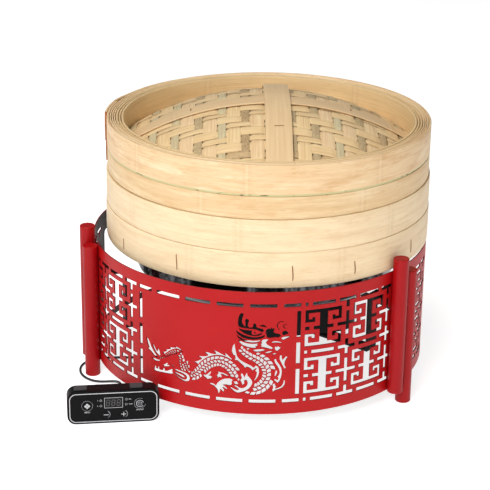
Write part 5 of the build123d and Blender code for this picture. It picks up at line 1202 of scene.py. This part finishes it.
def sheet_panel(name, mid, half_deg, polys, node):
    """A sheet bent to the ring: the flat pattern is triangulated with a line every few mm of arc, then wrapped."""
    half = R_RING * rad(half_deg)
    verts, edges, faces = [], [], []
    cols = int(2 * half / 6.4) + 1
    for i in range(cols + 1):
        s = -half + 2 * half * i / cols
        verts += [Vector((s, -H_RING / 2)), Vector((s, H_RING / 2))]
        edges.append((2 * i, 2 * i + 1))
        if i:
            edges += [(2 * i - 2, 2 * i), (2 * i - 1, 2 * i + 1)]
    for p in polys:
        base = len(verts)
        turn = sum(a[0] * c[1] - a[1] * c[0] for a, c in zip(p, p[1:] + p[:1]))
        verts += [Vector(q) for q in (p if turn > 0 else reversed(p))]
        faces.append(list(range(base, base + len(p))))
    v, _, f, _, _, of = delaunay_2d_cdt(verts, edges, faces, 0, 1e-4)
    keep = [t for t, ids in zip(f, of) if not ids]
    b = Build()
    n = len(v)
    for r in (R_RING, R_RING - T_SHEET):
        for q in v:
            a = rad(mid) + q.x / R_RING
            b.point((r * math.cos(a), DY + r * math.sin(a), Z_MID + q.y))
    count = {}
    for t in keep:
        t = list(t)
        ar = 0.0
        for i in range(len(t)):
            p, q = v[t[i]], v[t[(i + 1) % len(t)]]
            ar += p.x * q.y - q.x * p.y
        if abs(ar) < 1e-7:
            continue
        if ar < 0:
            t.reverse()
        b.face(tuple(t), 0)
        b.face(tuple(n + i for i in reversed(t)), 1)
        for i in range(len(t)):
            e = (t[i], t[(i + 1) % len(t)])
            if (e[1], e[0]) in count:
                count.pop((e[1], e[0]))
            else:
                count[e] = True
    # the walls of the cut-outs take material 2, the darker red of painted shade
    for a, c in count:
        b.face((c, a, n + a, n + c), 2)
    used = sorted({i for f_ in b.f for i in f_})
    back = {o: i for i, o in enumerate(used)}
    for key in ("v", "uvw", "tone", "nd", "green", "mott"):
        vals = getattr(b, key)
        setattr(b, key, [vals[i] for i in used])
    b.f = [tuple(back[i] for i in f_) for f_ in b.f]
    me = bpy.data.meshes.new(name)
    me.from_pydata(b.v, [], b.f)
    for m in (red, inner_dark, red_cut_wall_shaded):
        me.materials.append(m)
    me.polygons.foreach_set("material_index", b.mi)
    me.polygons.foreach_set("use_smooth", [True] * len(b.f))
    me.update()
    normals = []
    for p in me.polygons:
        for li in p.loop_indices:
            co = me.vertices[me.loops[li].vertex_index].co
            if p.material_index == 2:
                normals.append(p.normal)
            else:
                r = Vector((co.x, co.y - DY * MM, 0)).normalized()
                normals.append(r if p.material_index == 0 else -r)
    me.normals_split_custom_set([tuple(x) for x in normals])
    ob = bpy.data.objects.new(name, me)
    bpy.context.scene.collection.objects.link(ob)
    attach(ob, "stand")
    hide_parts(node)
    return ob


def window_cut():
    hx, hy, r = R_RING * rad(29.4), 61.5, 6.0
    out = []
    for cx, cy, a0 in ((hx - r, -hy + r, -90), (hx - r, hy - r, 0), (-hx + r, hy - r, 90), (-hx + r, -hy + r, 180)):
        for i in range(6):
            a = rad(a0 + 18 * i)
            out.append((cx + r * math.cos(a), cy - 8.5 + r * math.sin(a)))
    return out




def soft(p):
    # shallow corners of a cut-out are rounded off, sharp tips stay
    out = []
    for a, c, d in zip(p[-1:] + p[:-1], p, p[1:] + p[:1]):
        u, w = (c[0] - a[0], c[1] - a[1]), (d[0] - c[0], d[1] - c[1])
        lu, lw = math.hypot(*u), math.hypot(*w)
        cs = (u[0] * w[0] + u[1] * w[1]) / (lu * lw)
        if 0.35 < cs < 0.995 and min(lu, lw) > 0.9:
            e, f = min(0.28, 1.2 / lu), min(0.28, 1.2 / lw)
            p0 = (c[0] - u[0] * e, c[1] - u[1] * e)
            p1 = (c[0] + w[0] * f, c[1] + w[1] * f)
            out += [p0, ((p0[0] + p1[0] + 2 * c[0]) / 4, (p0[1] + p1[1] + 2 * c[1]) / 4), p1]
        else:
            out.append(c)
    return out


front_cuts = front_lattice() + [soft(p) for p in dragon()]
sheet_panel("front_panel_sheet", -90.0, 61.3, front_cuts, "front_panel")
rear_cuts = rear_lattice(R_RING * rad(56.0)) + [window_cut()]
sheet_panel("rear_right_sheet", 31.75, 56.0, rear_cuts, "rear_right_panel")
sheet_panel("rear_left_sheet", 148.25, 56.0, rear_cuts, "rear_left_panel")

# ================================================================ water pan
prof = [(0.0, 0.2), (60.0, 0.2), (120.0, 0.2), (R_PAN - 16, 0.2), (R_PAN - 12, 0.6), (R_PAN - 8, 1.8), (R_PAN - 4.6, 4.0),
        (R_PAN - 2.0, 7.2), (R_PAN - 0.5, 10.6), (R_PAN, 14.0), (R_PAN, 30.0), (R_PAN, 44.5), (R_PAN + 0.4, 46.2),
        (R_PAN + 1.4, 47.2), (R_PAN + 3.0, 47.4), (R_PAN + 4.4, 47.6), (R_PAN + 4.9, 48.2), (R_PAN + 4.4, 48.8),
        (R_PAN + 3.0, 49.0), (R_PAN + 0.6, 48.9), (R_PAN - 0.7, 47.6), (R_PAN - 1.0, 45.0), (R_PAN - 1.0, 30.0),
        (R_PAN - 1.0, 14.2), (R_PAN - 1.5, 11.0), (R_PAN - 3.0, 7.9), (R_PAN - 5.4, 4.9), (R_PAN - 8.6, 2.8),
        (R_PAN - 12.2, 1.6), (R_PAN - 16, 1.2), (120.0, 1.2), (60.0, 1.2), (0.0, 1.2)]
b = Build()
NA = 160
top_c = b.point((AX, AY, Z_PAN + 1.2))
bot_c = b.point((AX, AY, Z_PAN + 0.2))
rings = []
for r, z in prof[1:-1]:
    rings.append([b.point((AX + r * math.cos(2 * math.pi * j / NA), AY + r * math.sin(2 * math.pi * j / NA), Z_PAN + z))
                  for j in range(NA)])
# the bottom and the outer wall up to 44.5 mm take the darker steel of painted shade; the lip and the inside stay
# polished
for i, (a_, c_) in enumerate(zip(rings, rings[1:])):
    for j in range(NA):
        k = (j + 1) % NA
        b.face((a_[j], a_[k], c_[k], c_[j]), 1 if i < 10 else 0)
for j in range(NA):
    k = (j + 1) % NA
    b.face((bot_c, rings[0][k], rings[0][j]), 1)
    b.face((top_c, rings[-1][j], rings[-1][k]))
b.make("water_pan_shell", [steel, pan_wall_shaded_steel], "pan", "stainless", ["water_pan"], angle=50)


# ================================================================ controller print
def cp(x, z, depth):
    """A place on the controller: x along it, z up, depth behind its front face."""
    return (CTL_X + x * CC - depth * CS, CTL_Y + x * CS + depth * CC, z)


def flat(b, pts, depth, thick=0.12):
    """A thin printed shape standing on the face: pts are (x, z) in order."""
    f = [b.point(cp(x, z, depth - thick)) for x, z in pts]
    k = [b.point(cp(x, z, depth)) for x, z in pts]
    b.face(tuple(f))
    b.face(tuple(reversed(k)))
    n = len(pts)
    for i in range(n):
        j = (i + 1) % n
        b.face((f[i], k[i], k[j], f[j]))


def arc(b, cx, cz, r, w, a0, a1, depth, n=28, thick=0.12, taper=False):
    whole = abs(a1 - a0) >= 359.9
    o, i_ = [], []
    m = n if whole else n + 1
    for i in range(m):
        a = rad(a0 + (a1 - a0) * i / n)
        h = w / 2 * ((0.35 + 1.2 * i / n) if taper else 1.0)
        o.append((cx + (r + h) * math.cos(a), cz + (r + h) * math.sin(a)))
        i_.append((cx + (r - h) * math.cos(a), cz + (r - h) * math.sin(a)))
    fo = [b.point(cp(x, z, depth - thick)) for x, z in o]
    fi = [b.point(cp(x, z, depth - thick)) for x, z in i_]
    ko = [b.point(cp(x, z, depth)) for x, z in o]
    ki = [b.point(cp(x, z, depth)) for x, z in i_]
    for i in range(m if whole else m - 1):
        j = (i + 1) % m
        b.face((fo[i], fo[j], fi[j], fi[i]))
        b.face((ko[j], ko[i], ki[i], ki[j]))
        b.face((fo[j], fo[i], ko[i], ko[j]))
        b.face((fi[i], fi[j], ki[j], ki[i]))
    if not whole:
        b.face((fo[0], fi[0], ki[0], ko[0]))
        b.face((fi[-1], fo[-1], ko[-1], ki[-1]))


def label(name, text, x, z, size, body="stand", depth=0.0):
    cu = bpy.data.curves.new(name, "FONT")
    cu.body = text
    cu.size = size * MM
    cu.align_x = "CENTER"
    cu.align_y = "CENTER"
    cu.extrude = 0.05 * MM
    cu.offset = 0.02 * MM
    cu.resolution_u = 3
    tmp = bpy.data.objects.new(name + "_tmp", cu)
    bpy.context.scene.collection.objects.link(tmp)
    bpy.context.view_layer.update()
    me = bpy.data.meshes.new_from_object(tmp.evaluated_get(bpy.context.evaluated_depsgraph_get()))
    bpy.data.objects.remove(tmp)
    m = Matrix(((CC, 0, CS, 0), (CS, 0, -CC, 0), (0, 1, 0, 0), (0, 0, 0, 1)))
    p = cp(x, z, depth - 0.05)
    me.transform(Matrix.Translation((p[0] * MM, p[1] * MM, p[2] * MM)) @ m)
    me.materials.clear()
    me.materials.append(print_mat)
    ob = bpy.data.objects.new(name, me)
    bpy.context.scene.collection.objects.link(ob)
    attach(ob, body)
    return ob


# display frame, three unlit digits
b = Build()
for pts in (rect(0.2, 27.0 + 6.6, 11.0, 0.22), rect(0.2, 27.0 - 6.6, 11.0, 0.22), rect(0.2 - 10.8, 27.0, 0.22, 6.4),
            rect(0.2 + 10.8, 27.0, 0.22, 6.4)):
    flat(b, pts, -0.08)
b.make("display_frame_print", [print_mat], "stand", "grey_plastic")
b = Build()


def digit(b, cx, cz, h, w, segs):
    t = 0.62
    lean = 0.10

    def seg(x0, z0, x1, z1):
        dx, dz = x1 - x0, z1 - z0
        L = math.hypot(dx, dz)
        ux, uz = dx / L, dz / L
        px, pz = -uz, ux
        g = 0.28
        a = (x0 + ux * g, z0 + uz * g)
        c = (x1 - ux * g, z1 - uz * g)
        raw = [a, (a[0] + ux * t / 2 + px * t / 2, a[1] + uz * t / 2 + pz * t / 2),
               (c[0] - ux * t / 2 + px * t / 2, c[1] - uz * t / 2 + pz * t / 2), c,
               (c[0] - ux * t / 2 - px * t / 2, c[1] - uz * t / 2 - pz * t / 2),
               (a[0] + ux * t / 2 - px * t / 2, a[1] + uz * t / 2 - pz * t / 2)]
        flat(b, [(cx + x + z * lean, cz + z) for x, z in reversed(raw)], -0.1)
    hw, hh = w / 2, h / 2
    table = {"a": (-hw, hh, hw, hh), "b": (hw, 0, hw, hh), "c": (hw, -hh, hw, 0), "d": (-hw, -hh, hw, -hh),
             "e": (-hw, -hh, -hw, 0), "f": (-hw, 0, -hw, hh), "g": (-hw, 0, hw, 0)}
    for s in segs:
        seg(*table[s])


for k in (-1, 0, 1):
    digit(b, 0.0 + 6.3 * k, 27.0, 7.4, 3.7, "abcdefg")
b.make("display_digits", [segment_mat], "stand", "grey_plastic")

# rings and icons; those on a key ride on it
b = Build()
for x, z in ((-15.0, 30.4), (-15.0, 23.2), (15.4, 30.8), (15.4, 24.2)):
    arc(b, x, z, 1.3, 0.2, 0, 360, 0.0, 20)
arc(b, 31.6, 24.6, 6.75, 0.2, 60, 350, 0.0, 40)
arc(b, -31.2, 24.0, 6.6, 0.16, 0, 360, 0.0, 44)
arc(b, -8.8, 11.6, 4.7, 0.3, -70, 60, 0.0, 24, taper=True)
arc(b, 12.1, 11.6, 4.7, 0.3, -70, 60, 0.0, 24, taper=True)
b.make("keypad_rings", [print_mat], "stand", "grey_plastic")

KEY = -0.6
b = Build()
arc(b, 31.6, 24.6, 4.3, 0.55, 20, 330, KEY, 36)
arc(b, 31.6, 24.6, 2.35, 0.42, 118, 422, KEY, 26)
flat(b, rect(31.6, 25.6, 0.26, 1.7), KEY)
b.make("power_icon", [print_mat], "power_key", "grey_plastic")
b = Build()
for dx, dz in ((0, 2.0), (0, -2.0), (2.0, 0), (-2.0, 0)):
    cx, cz, r = -31.2 + dx, 24.0 + dz, 1.62
    pts = []
    for q in range(4):
        a0 = 90 * q
        for e in (-22, 0, 22):
            a = rad(a0 + e)
            pts.append((cx + r * (1.0 if e == 0 else 0.86) * math.cos(a), cz + r * (1.0 if e == 0 else 0.86) * math.sin(a)))
    flat(b, pts, KEY)
b.make("menu_icon", [print_mat], "menu_key", "grey_plastic")
b = Build()
flat(b, rect(-8.8, 11.6, 2.9, 0.42), KEY)
b.make("minus_icon", [print_mat], "minus_key", "grey_plastic")
b = Build()
flat(b, cross(12.1, 11.6, 2.9, 2.9, 0.42, 0.42), KEY)
b.make("plus_icon", [print_mat], "plus_key", "grey_plastic")
label("menu_word", "MENU", -31.2, 15.4, 2.5)
label("power_word", "ON/OFF", 31.6, 16.2, 2.5)
label("minute_word", "MIN", 19.8, 30.8, 1.7)
label("timer_word", "TIMER", 20.6, 24.2, 1.7)
label("hour_word", "h", -18.6, 30.4, 1.9)
label("degree_word", "°C", -18.9, 23.2, 1.7)

# ================================================================ floor and light
me = bpy.data.meshes.new("floor")
me.from_pydata([(-15, -15, 0), (15, -15, 0), (15, 15, 0), (-15, 15, 0)], [], [(0, 1, 2, 3)])
floor = bpy.data.objects.new("floor", me)
bpy.context.scene.collection.objects.link(floor)
g = Mat("floor_pale", Roughness=0.6, Specular_IOR_Level=0.1)
g.b.inputs["Base Color"].default_value = (0.80, 0.80, 0.80, 1.0)
g.b.inputs["Emission Color"].default_value = (1.0, 1.0, 1.0, 1.0)
g.b.inputs["Emission Strength"].default_value = 0.74
me.materials.append(g.m)
floor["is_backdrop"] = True

world = bpy.data.worlds.new("studio")
bpy.context.scene.world = world
world.use_nodes = True
world.node_tree.nodes["Background"].inputs[0].default_value = (1.0, 1.0, 1.0, 1.0)
world.node_tree.nodes["Background"].inputs[1].default_value = 0.16


def area(name, loc, target, size, energy, color=(1, 1, 1)):
    li = bpy.data.lights.new(name, "AREA")
    li.shape = "RECTANGLE"
    li.size, li.size_y = size
    li.energy = energy
    li.color = color
    ob = bpy.data.objects.new(name, li)
    bpy.context.scene.collection.objects.link(ob)
    ob.location = loc
    ob.rotation_mode = "QUATERNION"
    ob.rotation_quaternion = (Vector(target) - Vector(loc)).to_track_quat("-Z", "Y")
    return ob


area("key_light", (-0.32, -2.3, 1.7), (0, 0, 0.2), (1.1, 1.1), 37)
area("fill_light", (1.7, -1.3, 1.2), (0, 0, 0.15), (1.0, 1.0), 5)
area("top_light", (-0.5, -0.6, 2.4), (0, 0, 0.25), (1.3, 1.3), 27)
bpy.context.scene.view_settings.view_transform = "Standard"

lo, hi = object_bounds()
"[%s]" % ",\n ".join(str([round(c, 5) for c in v]) for v in (*CAD_BOX, lo, hi))
